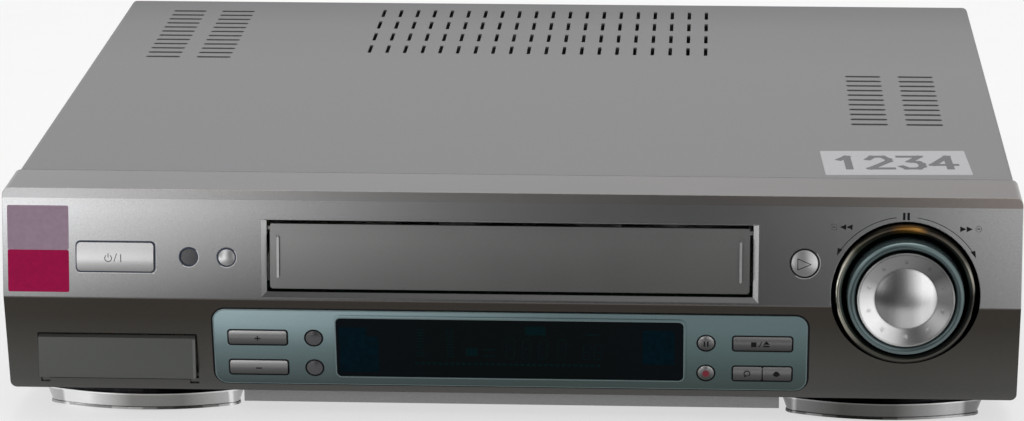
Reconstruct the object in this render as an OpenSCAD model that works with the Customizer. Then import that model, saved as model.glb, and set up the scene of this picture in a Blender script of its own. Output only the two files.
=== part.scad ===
// Front-loading video cassette recorder, full width, silver.
// Millimetres. X runs to the right, Y to the back, Z up.
// The origin is on the table, under the middle of the overall box.

/* [Body] */
// Width of the front moulding
body_w = 400; // [390:1:430]
// How far the steel cover's side sits inside the side of the front moulding
cover_inset = 1.5; // [0.5:0.1:4]
// Depth from the front crease to the back edge of the cover
body_d = 345; // [335:1:380]
// Height from the table to the top of the cover
body_h = 94; // [92:0.5:104]
// Height of the crease across the front above the table
crease_z = 51.2; // [50:0.2:53]
// Height of the lower edge of the front moulding above the table
bezel_ground = 10.8; // [10:0.2:12]
// Backward lean of the upper front face, degrees
upper_lean = 7; // [5:0.5:9]
// Backward lean of the lower front face, degrees
lower_lean = 11.7; // [9:0.1:14]
// Depth of the front moulding along its top
bezel_d = 33.6; // [32:0.2:34.4]
// Wall of the front moulding
bezel_wall = 2.5; // [2:0.1:2.8]
// Height of the bevel along the top front edge
bevel_h = 3.7; // [3:0.1:5]
// Depth of the bevel along the top front edge
bevel_d = 1.5; // [1:0.1:3]
// Corner radius of the front moulding
bezel_corner = 2.6; // [1.5:0.1:4]
// Sheet steel thickness of the cover
sheet = 0.8; // [0.6:0.1:1.2]
// Bend radius of the cover
cover_bend = 2.5; // [1.5:0.1:4]

/* [Cassette door] */
// Width of the cassette door
door_w = 188.4; // [186:0.2:190]
// Height of the cassette door along the face
door_h = 25.8; // [25:0.1:26.5]
// Height of the lower edge of the door above the crease, along the face
door_low = 4.2; // [3.8:0.1:4.6]
// Thickness of the door
door_t = 2.2; // [1.8:0.1:2.6]
// How far the door sits behind the face
door_inset = 1.2; // [0.8:0.1:1.6]
// Bevel around the door opening
door_bevel = 2.1; // [1.5:0.1:2.4]

/* [Control panel] */
// Distance from the inset control panel to the side of the front moulding
panel_side = 82.7; // [81:0.1:85]
// Height of the inset control panel
panel_h = 33.4; // [33:0.1:34]
// Distance of the panel below the crease, along the face
panel_low = 4.5; // [4:0.1:4.8]
// Corner radius of the panel
panel_corner = 5; // [3:0.5:7]
// Distance from the display window to the end of the panel
window_side = 48.8; // [48:0.1:52]
// Height of the display window
window_h = 26; // [24:0.2:27]

/* [Buttons] */
// Width of a long button in the panel
bar_w = 22.9; // [20:0.1:23.4]
// Height of a long button in the panel
bar_h = 6; // [5:0.1:6.4]
// Radius of a small round button in the panel
small_r = 3.2; // [2.8:0.05:3.4]
// Width of the power button
power_w = 30.4; // [26:0.1:32]
// Height of the power button
power_h = 11.4; // [10:0.1:12]
// Radius of the play button
play_r = 5.15; // [4.5:0.05:5.5]
// Radius of the two round buttons beside the power button
round_r = 3.2; // [2.8:0.05:3.4]
// Travel of a button
button_travel = 0.6; // [0.4:0.05:0.7]
// Gap around a button
button_gap = 0.35; // [0.25:0.05:0.5]

/* [Dial] */
// Radius of the shuttle ring
shuttle_r = 28.5; // [27:0.1:29.5]
// Radius of the jog dial
jog_r = 19; // [18:0.1:19.4]
// Height of the dial centre above the crease
dial_rise = 4.4; // [3:0.1:6]
// How far the jog dial stands out in front of the crease
jog_reach = 5.6; // [5:0.1:7]

/* [Front sockets] */
// Width of the flap over the front sockets
flap_w = 62.6; // [58:0.2:64]
// Height of the flap
flap_h = 17.6; // [17:0.1:18.4]
// Distance of the flap centre from the left side of the front moulding
flap_side = 44.2; // [42:0.2:47]

/* [Feet] */
// Width of a front foot
foot_w = 80.3; // [60:0.1:86]
// Radius of the front arc of a front foot
foot_arc = 95; // [80:1:130]
// Distance of the middle of a front foot from the side of the front moulding
foot_side = 52.2; // [50:0.1:56]

/* [Mechanism] */
// Width of the video cassette that the carrier takes
tape_w = 187; // [186:0.1:188]
// Depth of the video cassette
tape_d = 103; // [102:0.1:104]
// Thickness of the video cassette
tape_h = 25; // [24.6:0.1:25.4]
// Way that the cassette goes back
carry_back = 62; // [50:1:64]
// Way that the cassette goes down
carry_down = 18; // [14:0.5:18]
// Diameter of the head drum
drum_dia = 62; // [60:0.5:64]
// Tilt of the head drum, degrees
drum_tilt = 6; // [4:0.5:7]
// Distance between the two reel tables
reel_pitch = 92; // [88:0.5:96]

/* [Hidden] */
$fn = 48;

silver = [0.66, 0.66, 0.66];
dark_silver = [0.3, 0.29, 0.28];
cover_grey = [0.56, 0.56, 0.57];
teal = [0.43, 0.56, 0.57];
black = [0.07, 0.07, 0.08];
steel = [0.72, 0.73, 0.74];
chrome = [0.8, 0.8, 0.82];
dark_chrome = [0.22, 0.2, 0.18];
board_green = [0.12, 0.35, 0.2];
white = [0.9, 0.9, 0.88];

fit = 0.3;
skin = 0.01;
through = 40;
rear_reach = 4;
overall_d = body_d + jog_reach + rear_reach;
crease_y = -overall_d / 2 + jog_reach;
back_y = crease_y + body_d;
cover_front = crease_y + bezel_d + fit;
cover_w = body_w - 2 * cover_inset;
panel_w = body_w - 2 * panel_side;
window_w = panel_w - 2 * window_side;
flap_mid = flap_side - body_w / 2;
foot_x = body_w / 2 - foot_side;
pan_t = 1.2;
pan_low = bezel_ground - pan_t;
skirt_y = crease_y + 12;
skirt_t = 1.4;
skirt_low = 5;
side_in = cover_w / 2 - sheet - fit;
flange_h = 14;
rear_plate_y = back_y - 3;
rear_plate_t = 1;

function upper_y(z) = crease_y + (z - crease_z) * tan(upper_lean);
function lower_y(z) = crease_y + (crease_z - z) * tan(lower_lean);
function upper_inner_y(z) = upper_y(z) + bezel_wall / cos(upper_lean);
function lower_inner_y(z) = lower_y(z) + bezel_wall / cos(lower_lean);
// Depth along the face normal at which a point of a leaning face reaches a given depth
function face_depth(lean, s, y) = (y - crease_y + s * sin(lean)) / cos(lean);
function face_z(lean, s, t) = crease_z + s * cos(lean) - t * sin(lean);

module upper_face() translate([0, crease_y, crease_z]) rotate([-upper_lean, 0, 0]) children();

module lower_face() translate([0, crease_y, crease_z]) rotate([lower_lean, 0, 0]) children();

// Extrudes a flat shape, drawn in X and Z, from y0 to y0 + d
module slab(y0, d) translate([0, y0 + d, 0]) rotate([90, 0, 0]) linear_extrude(d) children();

// Extrudes a profile, drawn in Y and Z, across the width from x0 to x0 + w
module across(x0, w) translate([x0, 0, 0]) rotate([90, 0, 90]) linear_extrude(w) children();

// A cylinder along Y
module rod_y(r, y0, d) translate([0, y0 + d, 0]) rotate([90, 0, 0]) cylinder(h = d, r = r);

// A cylinder along X
module rod_x(r, x0, w) translate([x0, 0, 0]) rotate([0, 90, 0]) cylinder(h = w, r = r);

module rounded(w, h, r) {
    square([w - 2 * r, h], center = true);
    square([w, h - 2 * r], center = true);
    for (x = [-1, 1], z = [-1, 1])
        translate([x * (w / 2 - r), z * (h / 2 - r)]) circle(r);
}

module block(x0, x1, y0, y1, z0, z1)
    translate([x0, y0, z0]) cube([x1 - x0, y1 - y0, z1 - z0]);

// Where things sit on the two front faces
door_gap = 1.3;
door_mid = door_low + door_h / 2;
open_half = door_w / 2 + door_gap;
// A place between the door opening, at 0, and the side of the front, at 1
function beside_door(share) = open_half + share * (body_w / 2 - open_half);
open_low = door_low - door_gap;
open_high = door_low + door_h + door_gap;
hinge_in = door_inset + door_t + 1.2;
hinge_up = door_low + door_h - 2;
power_x = -beside_door(0.5713);
power_up = 16.3;
round_up = 16.5;
mode_x = -beside_door(0.2928);
speed_x = -beside_door(0.1502);
play_up = 16.9;
dial_x = beside_door(0.5694);
dial_gap = 0.6;
dial_left = dial_x - 0.971 * shuttle_r - dial_gap;
play_x = open_half + door_bevel + 0.618 * (dial_left - open_half - door_bevel);
panel_mid = -(panel_low + panel_h / 2);
window_mid = panel_mid + 0.4;
row_high = panel_mid + 4.25;
row_low = panel_mid - 9.2;
stop_x = panel_w / 2 - 17.6;
pause_x = panel_w / 2 - 39.8;
channel_x = -stop_x;
function_x = -pause_x;
split_gap = 0.4;
dial_z = crease_z + dial_rise;
ring_base = 4;
flap_low = 17.2;
flap_face = crease_y + 1.75;
flap_t = 2;
flap_axis_y = crease_y + 8.2;
flap_axis_z = flap_low + 0.2;

module bezel_outline() polygon([
    [crease_y + bezel_d, bezel_ground],
    [lower_y(bezel_ground), bezel_ground],
    [crease_y, crease_z],
    [upper_y(body_h - bevel_h), body_h - bevel_h],
    [upper_y(body_h - bevel_h) + bevel_d, body_h],
    [crease_y + bezel_d, body_h]]);

bezel_top_wall = 2.2;

module bezel_hollow() polygon([
    [crease_y + bezel_d + 1, bezel_ground + bezel_wall],
    [lower_inner_y(bezel_ground + bezel_wall), bezel_ground + bezel_wall],
    [crease_y + bezel_wall, crease_z],
    [upper_inner_y(body_h - bezel_top_wall), body_h - bezel_top_wall],
    [crease_y + bezel_d + 1, body_h - bezel_top_wall]]);

// A pocket whose walls slope from an outer to an inner rectangle
module sloped_pocket(half_out, half_in, low_out, low_in, high_out, high_in, depth) intersection() {
    linear_extrude(high_out + through) polygon([
        [-half_out, -skin], [half_out, -skin], [half_in, depth], [-half_in, depth]]);
    across(-half_out, 2 * half_out) polygon([
        [-skin, low_out], [depth, low_in], [depth, high_in], [-skin, high_out]]);
}

module button_hole(x, s, w, h, r)
    translate([x, 0, s]) slab(-5, 12) rounded(w + 2 * button_gap, h + 2 * button_gap, r + button_gap);

module round_hole(x, s, r) translate([x, 0, s]) rod_y(r + button_gap, -5, 12);

module panel_shape(gap) rounded(panel_w + 2 * gap, panel_h + 2 * gap, panel_corner + gap);

module front_bezel() color(silver) {
    difference() {
        intersection() {
            across(-body_w / 2, body_w) bezel_outline();
            translate([0, 0, (body_h + bezel_ground) / 2]) slab(crease_y - 5, bezel_d + 10)
                rounded(body_w, body_h - bezel_ground, bezel_corner);
        }
        across(-body_w / 2 + bezel_wall, body_w - 2 * bezel_wall) bezel_hollow();
        upper_face() {
            block(-open_half, open_half, -5, 12, open_low, open_high);
            sloped_pocket(open_half + door_bevel, open_half, open_low - door_bevel, open_low,
                open_high + 0.4, open_high, 1.6);
            button_hole(power_x, power_up, power_w, power_h, 1.5);
            round_hole(mode_x, round_up, round_r);
            round_hole(speed_x, round_up, round_r);
            round_hole(play_x, play_up, play_r);
            for (x = [mode_x, speed_x]) translate([x, 0, round_up])
                rotate([-90, 0, 0]) cylinder(h = 0.8, r1 = round_r + 0.8, r2 = round_r);
        }
        lower_face() translate([0, 0, panel_mid]) slab(-5, 12) panel_shape(0.45);
        translate([dial_x, 0, dial_z]) rod_y(shuttle_r + dial_gap, crease_y - 5, 25);
        flap_recess();
        translate([flap_mid, flap_axis_y, flap_axis_z]) rod_x(0.76, -flap_w / 2 - 2.5, flap_w + 5);
    }
    dial_collar();
    door_ears();
}

module flap_recess() {
    half = flap_w / 2 + 0.4;
    block(flap_mid - half, flap_mid + half, crease_y - 5, crease_y + 12,
        flap_low - 2, flap_low + flap_h + 0.4);
    for (side = [-1, 1])
        translate([flap_mid + side * (flap_w / 2 - 1.4), 0, 0])
            block(-1.8, 1.8, crease_y - 5, crease_y + 9.2, flap_low - 3.8, flap_low);
}

// The ring wall that carries the dial opening behind the sloping faces
module dial_collar() intersection() {
    translate([dial_x, 0, dial_z]) difference() {
        rod_y(shuttle_r + dial_gap + 1.8, crease_y, 12);
        rod_y(shuttle_r + dial_gap, crease_y - 1, 14);
    }
    across(dial_x - 40, 80) polygon([
        [crease_y + bezel_d, bezel_ground + 1],
        [lower_inner_y(bezel_ground + 1) - bezel_wall / 2, bezel_ground + 1],
        [crease_y + bezel_wall / 2, crease_z],
        [upper_inner_y(body_h - 1) - bezel_wall / 2, body_h - 1],
        [crease_y + bezel_d, body_h - 1]]);
}

ear_w = 2.4;
pin_r = 1.2;
door_pin = open_half - door_w / 2 + 0.4 + ear_w;
spring_turns = 5;
spring_wire = 0.3;
spring_r = pin_r + spring_wire + 0.1;
spring_out = spring_r + spring_wire;
spring_len = 6;
spring_leg = 7;
spring_x = -door_w / 2 + 3.6;

module door_ears() upper_face() for (side = [-1, 1]) translate([side * (open_half + 0.4 + ear_w / 2), 0, 0])
    difference() {
        block(-ear_w / 2, ear_w / 2, bezel_wall - 0.2, hinge_in + 2.4, hinge_up - 2.6, hinge_up + 2.6);
        translate([0, hinge_in, hinge_up]) rod_x(pin_r + 0.06, -ear_w, 2 * ear_w);
    }

module cassette_door() color(silver) upper_face() {
    difference() {
        translate([0, 0, door_mid]) slab(door_inset, door_t) rounded(door_w, door_h, 1.2);
        for (side = [-1, 1]) translate([side * (door_w / 2 - 3.2), 0, door_mid + 0.6])
            slab(door_inset - 1, 1.5) rounded(1.4, 17, 0.6);
        block(spring_x - 0.6, spring_x + spring_len + 0.6, hinge_in - spring_out - 0.15,
            door_inset + door_t + 1, hinge_up - spring_leg - 0.6, hinge_up + spring_out + 0.3);
    }
    translate([0, hinge_in, hinge_up])
        rod_x(pin_r, spring_x - 1.5, spring_len + 2);
    for (side = [-1, 1]) translate([side * (door_w / 2 - 1.5), 0, 0]) {
        block(-1.5, 1.5, door_inset + door_t, hinge_in, hinge_up - 1.8, hinge_up + 1.8);
        translate([0, hinge_in, hinge_up]) rod_x(1.8, -1.5, 3);
        translate([0, hinge_in, hinge_up])
            rod_x(pin_r, side > 0 ? 0 : -1.5 - door_pin, 1.5 + door_pin);
    }
}

// A cap with a flange that stays behind the panel wall and a stem towards the board
flange_t = 0.9;
board_y = crease_y + 24;
switch_y = board_y - 5.5;

module bar_button(lean, x, s, w, h, r, proud, wall) {
    reach = face_depth(lean, s, switch_y) - button_travel - 0.35;
    color(silver) translate([x, 0, s]) {
        intersection() {
            slab(-proud, proud + wall + fit + flange_t) rounded(w, h, r);
            across(-w / 2, w) bulge_profile(h, proud, wall + fit + flange_t);
        }
        slab(wall + fit, flange_t) rounded(w + 1.6, h + 1.2, r + 0.5);
        rod_y(1.2, wall + fit, reach - wall - fit);
    }
}

module bulge_profile(h, proud, depth) {
    low = 0.45 * proud;
    rise = proud - low;
    big = (h * h / 4 + rise * rise) / (2 * rise);
    intersection() {
        translate([-proud, -h / 2]) square([depth + proud, h]);
        union() {
            translate([big - proud, 0]) circle(big, $fn = 180);
            translate([big - proud, -h / 2]) square([depth + h, h]);
        }
    }
}

module dome_button(lean, x, s, r, proud, wall, tint) {
    reach = face_depth(lean, s, switch_y) - button_travel - 0.35;
    rise = proud * 0.6;
    big = (r * r + rise * rise) / (2 * rise);
    color(tint) translate([x, 0, s]) {
        intersection() {
            rod_y(r, -proud, proud + wall + fit + flange_t);
            translate([0, big - proud, 0]) union() {
                sphere(big, $fn = 96);
                rod_y(r + 1, 0, wall + 4);
            }
        }
        rod_y(r + 0.8, wall + fit, flange_t);
        rod_y(1.2, wall + fit, reach - wall - fit);
    }
}

module power_button() upper_face()
    bar_button(-upper_lean, power_x, power_up, power_w, power_h, 1.5, 1.6, bezel_wall);

module mode_button() upper_face()
    dome_button(-upper_lean, mode_x, round_up, round_r, 0.2, bezel_wall, dark_silver);

module speed_button() upper_face()
    dome_button(-upper_lean, speed_x, round_up, round_r, 0.9, bezel_wall, silver);

module play_button() upper_face()
    dome_button(-upper_lean, play_x, play_up, play_r, 1.1, bezel_wall, silver);

// The inset panel, its window and its buttons, in the plane of the lower face
panel_front = 0.5;
panel_back = bezel_wall + 1.2;
panel_proud = panel_front + 0.9;

module panel_bar_hole(x, s, w) button_hole(x, s, w, bar_h, 1);

module control_panel() color(teal) lower_face() difference() {
    union() {
        translate([0, 0, panel_mid]) slab(-panel_front, panel_back + panel_front) panel_shape(0);
        translate([0, 0, panel_mid]) slab(bezel_wall, panel_back - bezel_wall)
            rounded(panel_w + 5, panel_h + 1.2, panel_corner);
        translate([0, 0, window_mid]) slab(-panel_front - 0.4, 1)
            rounded(window_w + 2.4, window_h + 2.4, 3);
    }
    translate([0, 0, window_mid]) slab(-5, 12) rounded(window_w + 0.2, window_h + 0.2, 2);
    for (s = [row_high, row_low]) {
        panel_bar_hole(channel_x, s, bar_w);
        panel_bar_hole(stop_x, s, bar_w);
        round_hole(function_x, s, small_r);
        round_hole(pause_x, s, small_r);
    }
}

module display_window() color(black) lower_face() translate([0, 0, window_mid]) {
    slab(-panel_front, panel_back + panel_front) rounded(window_w, window_h, 1.9);
    slab(panel_back, 1) rounded(window_w + 3, window_h + 2, 1.9);
}

tube_w = window_w - 13;
tube_h = window_h - 2;
tube_mid = crease_z - 20;

module display_tube() color(black) translate([0, 0, tube_mid]) {
    slab(crease_y + 13, 5.5) rounded(tube_w, tube_h, 1);
    difference() {
        slab(crease_y + 18.5, board_y - crease_y - 18.5) square([tube_w - 2, tube_h - 2], center = true);
        slab(crease_y + 20, 10) square([tube_w - 6, tube_h - 6], center = true);
    }
}

module panel_bar(x, s, w) lower_face()
    bar_button(lower_lean, x, s, w, bar_h, 1, panel_proud, panel_back);

module panel_dome(x, s, tint) lower_face()
    dome_button(lower_lean, x, s, small_r, panel_proud, panel_back, tint);

split_w = (bar_w - split_gap) / 2;
split_x = (bar_w + split_gap) / 4;

module channel_up_button() panel_bar(channel_x, row_high, bar_w);
module channel_down_button() panel_bar(channel_x, row_low, bar_w);
module stop_eject_button() panel_bar(stop_x, row_high, bar_w);
module insert_button() panel_half(-1);
module dub_button() panel_half(1);
module upper_function_button() panel_dome(function_x, row_high, dark_silver);
module lower_function_button() panel_dome(function_x, row_low, dark_silver);
module pause_button() panel_dome(pause_x, row_high, silver);
module record_button() panel_dome(pause_x, row_low, silver);

// Two short keys share one opening, so neither has a flange on the side of its neighbour
module panel_half(side) lower_face() {
    reach = face_depth(lower_lean, row_low, switch_y) - button_travel - 0.35;
    color(silver) translate([stop_x + side * split_x, 0, row_low]) {
        intersection() {
            slab(-panel_proud, panel_proud + panel_back + fit + flange_t) rounded(split_w, bar_h, 0.8);
            across(-split_w / 2, split_w) bulge_profile(bar_h, panel_proud, panel_back + fit + flange_t);
        }
        translate([side * 0.4, 0, 0]) slab(panel_back + fit, flange_t)
            square([split_w + 0.8, bar_h + 1.2], center = true);
        rod_y(1.2, panel_back + fit, reach - panel_back - fit);
    }
}

// The flap over the front sockets: proud of the leaning face, hinged along its lower edge
module av_flap() color(dark_silver) translate([flap_mid, 0, 0]) {
    across(-flap_w / 2, flap_w) polygon([
        [flap_face, flap_low],
        [flap_face + flap_t, flap_low],
        [flap_face + flap_t, flap_low + flap_h],
        [flap_face + 1.7, flap_low + flap_h],
        [flap_face, flap_low + flap_h - 0.9]]);
    for (side = [-1, 1]) translate([side * (flap_w / 2 - 1.4), 0, 0]) {
        block(-1.2, 1.2, flap_face + flap_t, flap_axis_y, flap_low, flap_low + 2.2);
        translate([0, flap_axis_y, flap_axis_z]) rod_x(1.1, -1.2, 2.4);
        translate([0, flap_axis_y, flap_axis_z])
            rod_x(0.7, side > 0 ? 0 : -3.4, 3.4);
    }
}

socket_plate_y = crease_y + 17.5;
socket_z = flap_low + flap_h / 2;
socket_x = [flap_mid + 23, flap_mid + 9, flap_mid - 5];
svideo_x = flap_mid - 22;
plug_hole_r = 1.6;

module front_sockets() color(black) {
    difference() {
        block(flap_mid - 34, flap_mid + 34, socket_plate_y, board_y,
            bezel_ground + bezel_wall + fit, socket_z + 13);
        for (x = socket_x) translate([x, 0, socket_z]) rod_y(plug_hole_r, socket_plate_y - 1, 5);
        block(flap_mid - 32, flap_mid + 32, socket_plate_y + 4, board_y + 1,
            bezel_ground + bezel_wall + 2, socket_z + 11);
    }
    for (x = socket_x) translate([0, socket_plate_y, 0]) phono_front(x);
    socket_frame();
    translate([svideo_x, 0, socket_z]) difference() {
        rod_y(6, socket_plate_y - 4, 4);
        rod_y(4.75, socket_plate_y - 5, 4.4);
    }
    translate([svideo_x, 0, socket_z]) for (x = [-1, 1], z = [0, 1])
        translate([x * (1.7 + z * 0.6), 0, z * 2 - 1.4]) rod_y(0.4, socket_plate_y - 2.6, 2.6);
}

// The walls between the sockets and the back of the moulding, seen when the flap is open
module socket_frame() {
    half = flap_w / 2 + 0.5;
    low = flap_low - 3.6;
    high = flap_low + flap_h + 2;
    for (side = [-1, 1]) across(flap_mid + side * (half + 0.75) - 0.75, 1.5) polygon([
        [lower_inner_y(low) + fit, low], [lower_inner_y(high) + fit, high],
        [socket_plate_y, high], [socket_plate_y, low]]);
    across(flap_mid - half, 2 * half) polygon([
        [lower_inner_y(high - 1.5) + fit, high - 1.5], [lower_inner_y(high) + fit, high],
        [socket_plate_y, high], [socket_plate_y, high - 1.5]]);
}

module phono_front(x) translate([x, 0, socket_z]) difference() {
    union() {
        rod_y(5.6, -1.2, 1.2);
        rod_y(4.15, -7.5, 7.5);
    }
    rod_y(plug_hole_r, -8, 9);
}

// The dial: h is the height towards the user, measured from the crease
module dial_axis() translate([dial_x, crease_y, dial_z]) rotate([90, 0, 0]) children();

ring_in = jog_r + 4.2;
trim_out = jog_r + 3.8;
trim_in = jog_r + 0.6;
trim_front = jog_reach - 1.2;
ring_bump = 2.8;
web_front = -7.5;
web_back = -9;
boss_r = 6;
shaft_r = 3;

module shuttle_ring() color(dark_chrome) dial_axis() rotate_extrude($fn = 96) difference() {
    polygon(concat(
        [for (i = [0 : 12]) let (t = i / 12)
            [shuttle_r - (shuttle_r - ring_in) * t, -ring_base + ring_bump * sin(180 * pow(t, 0.8))]],
        [[ring_in, web_front], [boss_r + 0.06, web_front], [boss_r + 0.06, web_back - 4],
            [boss_r + 2.5, web_back - 4], [boss_r + 2.5, web_back], [shuttle_r, web_back]]));
}

module shuttle_trim() color(teal) dial_axis() rotate_extrude($fn = 96) {
    edge = (trim_out - trim_in) / 2;
    translate([trim_in, web_front]) square([2 * edge, trim_front - web_front - edge]);
    translate([trim_in + edge, trim_front - edge]) circle(edge, $fn = 32);
}

dome_r = 12.2;
dome_rise = 2.4;
dish = 2.7;
pip_r = 15.3;
pips = 10;

module jog_dial() color(silver) {
    dome_big = (dome_r * dome_r + dome_rise * dome_rise) / (2 * dome_rise);
    dome_low = jog_reach - dish;
    dial_axis() {
        rotate_extrude($fn = 96) polygon(concat(
            [[0, -4.5]], [[0, dome_low + dome_rise]],
            [for (i = [1 : 8]) let (r = dome_r * i / 8)
                [r, dome_low + dome_rise - dome_big + sqrt(dome_big * dome_big - r * r)]],
            [[jog_r - 0.5, jog_reach], [jog_r, jog_reach - 0.5], [jog_r, -4.5]]));
        translate([0, 0, -12]) cylinder(h = 8, r = shaft_r);
        for (i = [0 : pips - 1]) rotate(360 / pips * i + 18)
            translate([pip_r, 0, jog_reach - dish * (jog_r - pip_r) / (jog_r - dome_r) - 0.25])
                sphere(0.7, $fn = 16);
    }
}

encoder_half = 20;

module dial_encoder() color(black) {
    difference() {
        union() {
            translate([dial_x, 0, dial_z]) slab(crease_y + 14, board_y - crease_y - 14)
                rounded(2 * encoder_half, 2 * encoder_half, 3);
            dial_axis() translate([0, 0, -15]) cylinder(h = 9.8, r = boss_r);
        }
        dial_axis() translate([0, 0, -20]) cylinder(h = 20, r = shaft_r + 0.06);
    }
}

// Sheet steel shell: a top with two sides, folded along rounded edges
cover_low = bezel_ground + 0.4;
slot_w = 15.4;
slot_d = 2.8;
slot_pitch = 8.45;
hole_w = 1.5;
hole_d = 15;

module cover_section(grow) {
    w = cover_w - 2 * grow;
    r = cover_bend - grow;
    for (side = [-1, 1]) translate([side * (w / 2 - r), body_h - grow - r]) circle(r);
    translate([-w / 2, 0]) square([w, body_h - grow - r]);
    translate([r - w / 2, 0]) square([w - 2 * r, body_h - grow]);
}

module slot_field(x0, y0, count, columns, pitch_x)
    for (c = [0 : columns - 1], i = [0 : count - 1])
        translate([x0 + c * pitch_x, crease_y + y0 - i * slot_pitch, body_h - 5])
            linear_extrude(10) rounded(slot_w, slot_d, 1.2);

module top_cover() color(cover_grey) {
    difference() {
        slab(cover_front, back_y - cover_front) difference() {
            cover_section(0);
            cover_section(sheet);
            translate([-cover_w, -1]) square([2 * cover_w, cover_low + 1]);
        }
        slot_field(30.8 - cover_w / 2, body_d - 21.1, 12, 2, 22.8);
        slot_field(cover_w / 2 - 54, body_d - 140.1, 11, 2, 22.9);
        for (c = [0 : 19], i = [0 : 3])
            translate([-75.9 + c * 7.97, back_y - 22.6 - i * 24.3, body_h - 5])
                linear_extrude(10) rounded(hole_w + 0.1, hole_d, 0.75);
        for (side = [-1, 1], y = screw_ys) translate([side * cover_w / 2, y, screw_z])
            rod_x(screw_r + 0.4, -3, 6);
    }
    difference() {
        slab(back_y - sheet, sheet) translate([0, body_h - sheet - 3.5])
            square([cover_w - 8, 7], center = true);
        for (x = rear_screw_xs) translate([x, 0, rear_screw_z]) rod_y(screw_r + 0.4, back_y - 3, 6);
    }
}

screw_r = 1.5;
screw_z = 20;
screw_ys = [crease_y + 80, back_y - 55];
rear_side = side_in - 47.4;
rear_screw_xs = [-rear_side, 0, rear_side];
rear_screw_z = body_h - 4.6;
head_r = 3.2;
head_h = 1.3;

module cover_screws() color(steel) {
    for (side = [-1, 1], y = screw_ys) translate([side * cover_w / 2, y, screw_z]) {
        rotate([0, side * 90, 0]) screw();
    }
    for (x = rear_screw_xs) translate([x, back_y, rear_screw_z]) rotate([-90, 0, 0]) screw();
}

module screw() difference() {
    union() {
        cylinder(h = head_h, r1 = head_r, r2 = head_r * 0.72);
        translate([0, 0, -5]) cylinder(h = 5.1, r = screw_r);
    }
    for (a = [0, 90]) rotate(a) translate([-1.9, -0.35, head_h - 0.8]) cube([3.8, 0.7, 1]);
}

// Steel pan with folded sides and the pale skirt below the front moulding
skirt_gap = 1;
skirt_half = foot_x - foot_w / 2 - skirt_gap;

module bottom_chassis() color([0.62, 0.62, 0.63]) difference() {
    union() {
        block(-side_in, side_in, skirt_y, rear_plate_y + rear_plate_t, pan_low, bezel_ground);
        for (side = [-1, 1]) block(side > 0 ? side_in - pan_t : -side_in,
            side > 0 ? side_in : -side_in + pan_t, cover_front + 2, rear_plate_y,
            pan_low, bezel_ground + flange_h);
        block(-skirt_half, skirt_half, skirt_y, skirt_y + skirt_t, skirt_low, bezel_ground);
        for (p = deck_posts) translate([p[0], crease_y + p[1], bezel_ground])
            cylinder(h = deck_z - deck_t - bezel_ground, r = 4.5);
        for (p = board_posts) translate([p[0], crease_y + p[1], bezel_ground])
            cylinder(h = board_z - bezel_ground, r = 3);
    }
    for (side = [-1, 1], y = screw_ys) translate([side * side_in, y, screw_z])
        rod_x(screw_r + 0.05, -6, 12);
    for (x = [-60, -20, 20, 60], i = [0 : 6]) translate([x, crease_y + 150 + i * 12, pan_low - 1])
        linear_extrude(4) rounded(24, 3, 1.4);
}

foot_rim = 7.9;
foot_lip = 0.8;
foot_post = 6;
foot_depth = 42;
foot_front = crease_y + 10;

// Half-moon outline swept up as a slanted wall: a row of small cones along the front arc
module foot_shell(low, high, r_low, r_high) {
    reach = foot_arc - foot_post;
    half = asin((foot_w / 2 - foot_post) / reach);
    hull() {
        for (i = [-6 : 6]) let (a = half * i / 6)
            translate([reach * sin(a), foot_arc - reach * cos(a), low])
                cylinder(h = high - low, r1 = r_low, r2 = r_high, $fn = 32);
        for (side = [-1, 1]) translate([side * (foot_w / 2 - foot_post) * 0.86, foot_depth - foot_post, low])
            cylinder(h = high - low, r1 = r_low, r2 = r_high, $fn = 32);
    }
}

module front_feet() color(chrome) for (side = [-1, 1]) translate([side * foot_x, foot_front, 0]) {
    foot_shell(foot_lip + 0.7, foot_rim, foot_post - 2.3, foot_post);
    foot_shell(foot_lip, foot_lip + 0.8, foot_post - 1.7, foot_post - 1.9);
    foot_shell(foot_rim - 0.1, pan_low, foot_post - 3.6, foot_post - 3.6);
}

rear_foot_xs = [-rear_side, rear_side];
rear_foot_y = back_y - 40;
rear_foot_r = 14;

module rear_feet() color(black) for (x = rear_foot_xs) translate([x, rear_foot_y, 0]) difference() {
    translate([0, 0, foot_lip]) cylinder(h = pan_low - foot_lip, r1 = rear_foot_r - 1.5, r2 = rear_foot_r);
    translate([0, 0, foot_lip - 1]) cylinder(h = 3, r = 5);
}

module foot_pads() color([0.16, 0.16, 0.16]) {
    for (side = [-1, 1], dx = [-20, 20]) translate([side * foot_x + dx, foot_front + 20, 0])
        cylinder(h = foot_lip, r = 6);
    for (x = rear_foot_xs) translate([x, rear_foot_y, 0]) difference() {
        cylinder(h = foot_lip, r = 11);
        translate([0, 0, -1]) cylinder(h = 3, r = 5);
    }
}

inlet_x = -rear_side;
scart_x = [-20, 45];
aerial_x = 120;
phono_x = [-82, -66];
svideo_back_x = -100;
back_row_z = 34;

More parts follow.
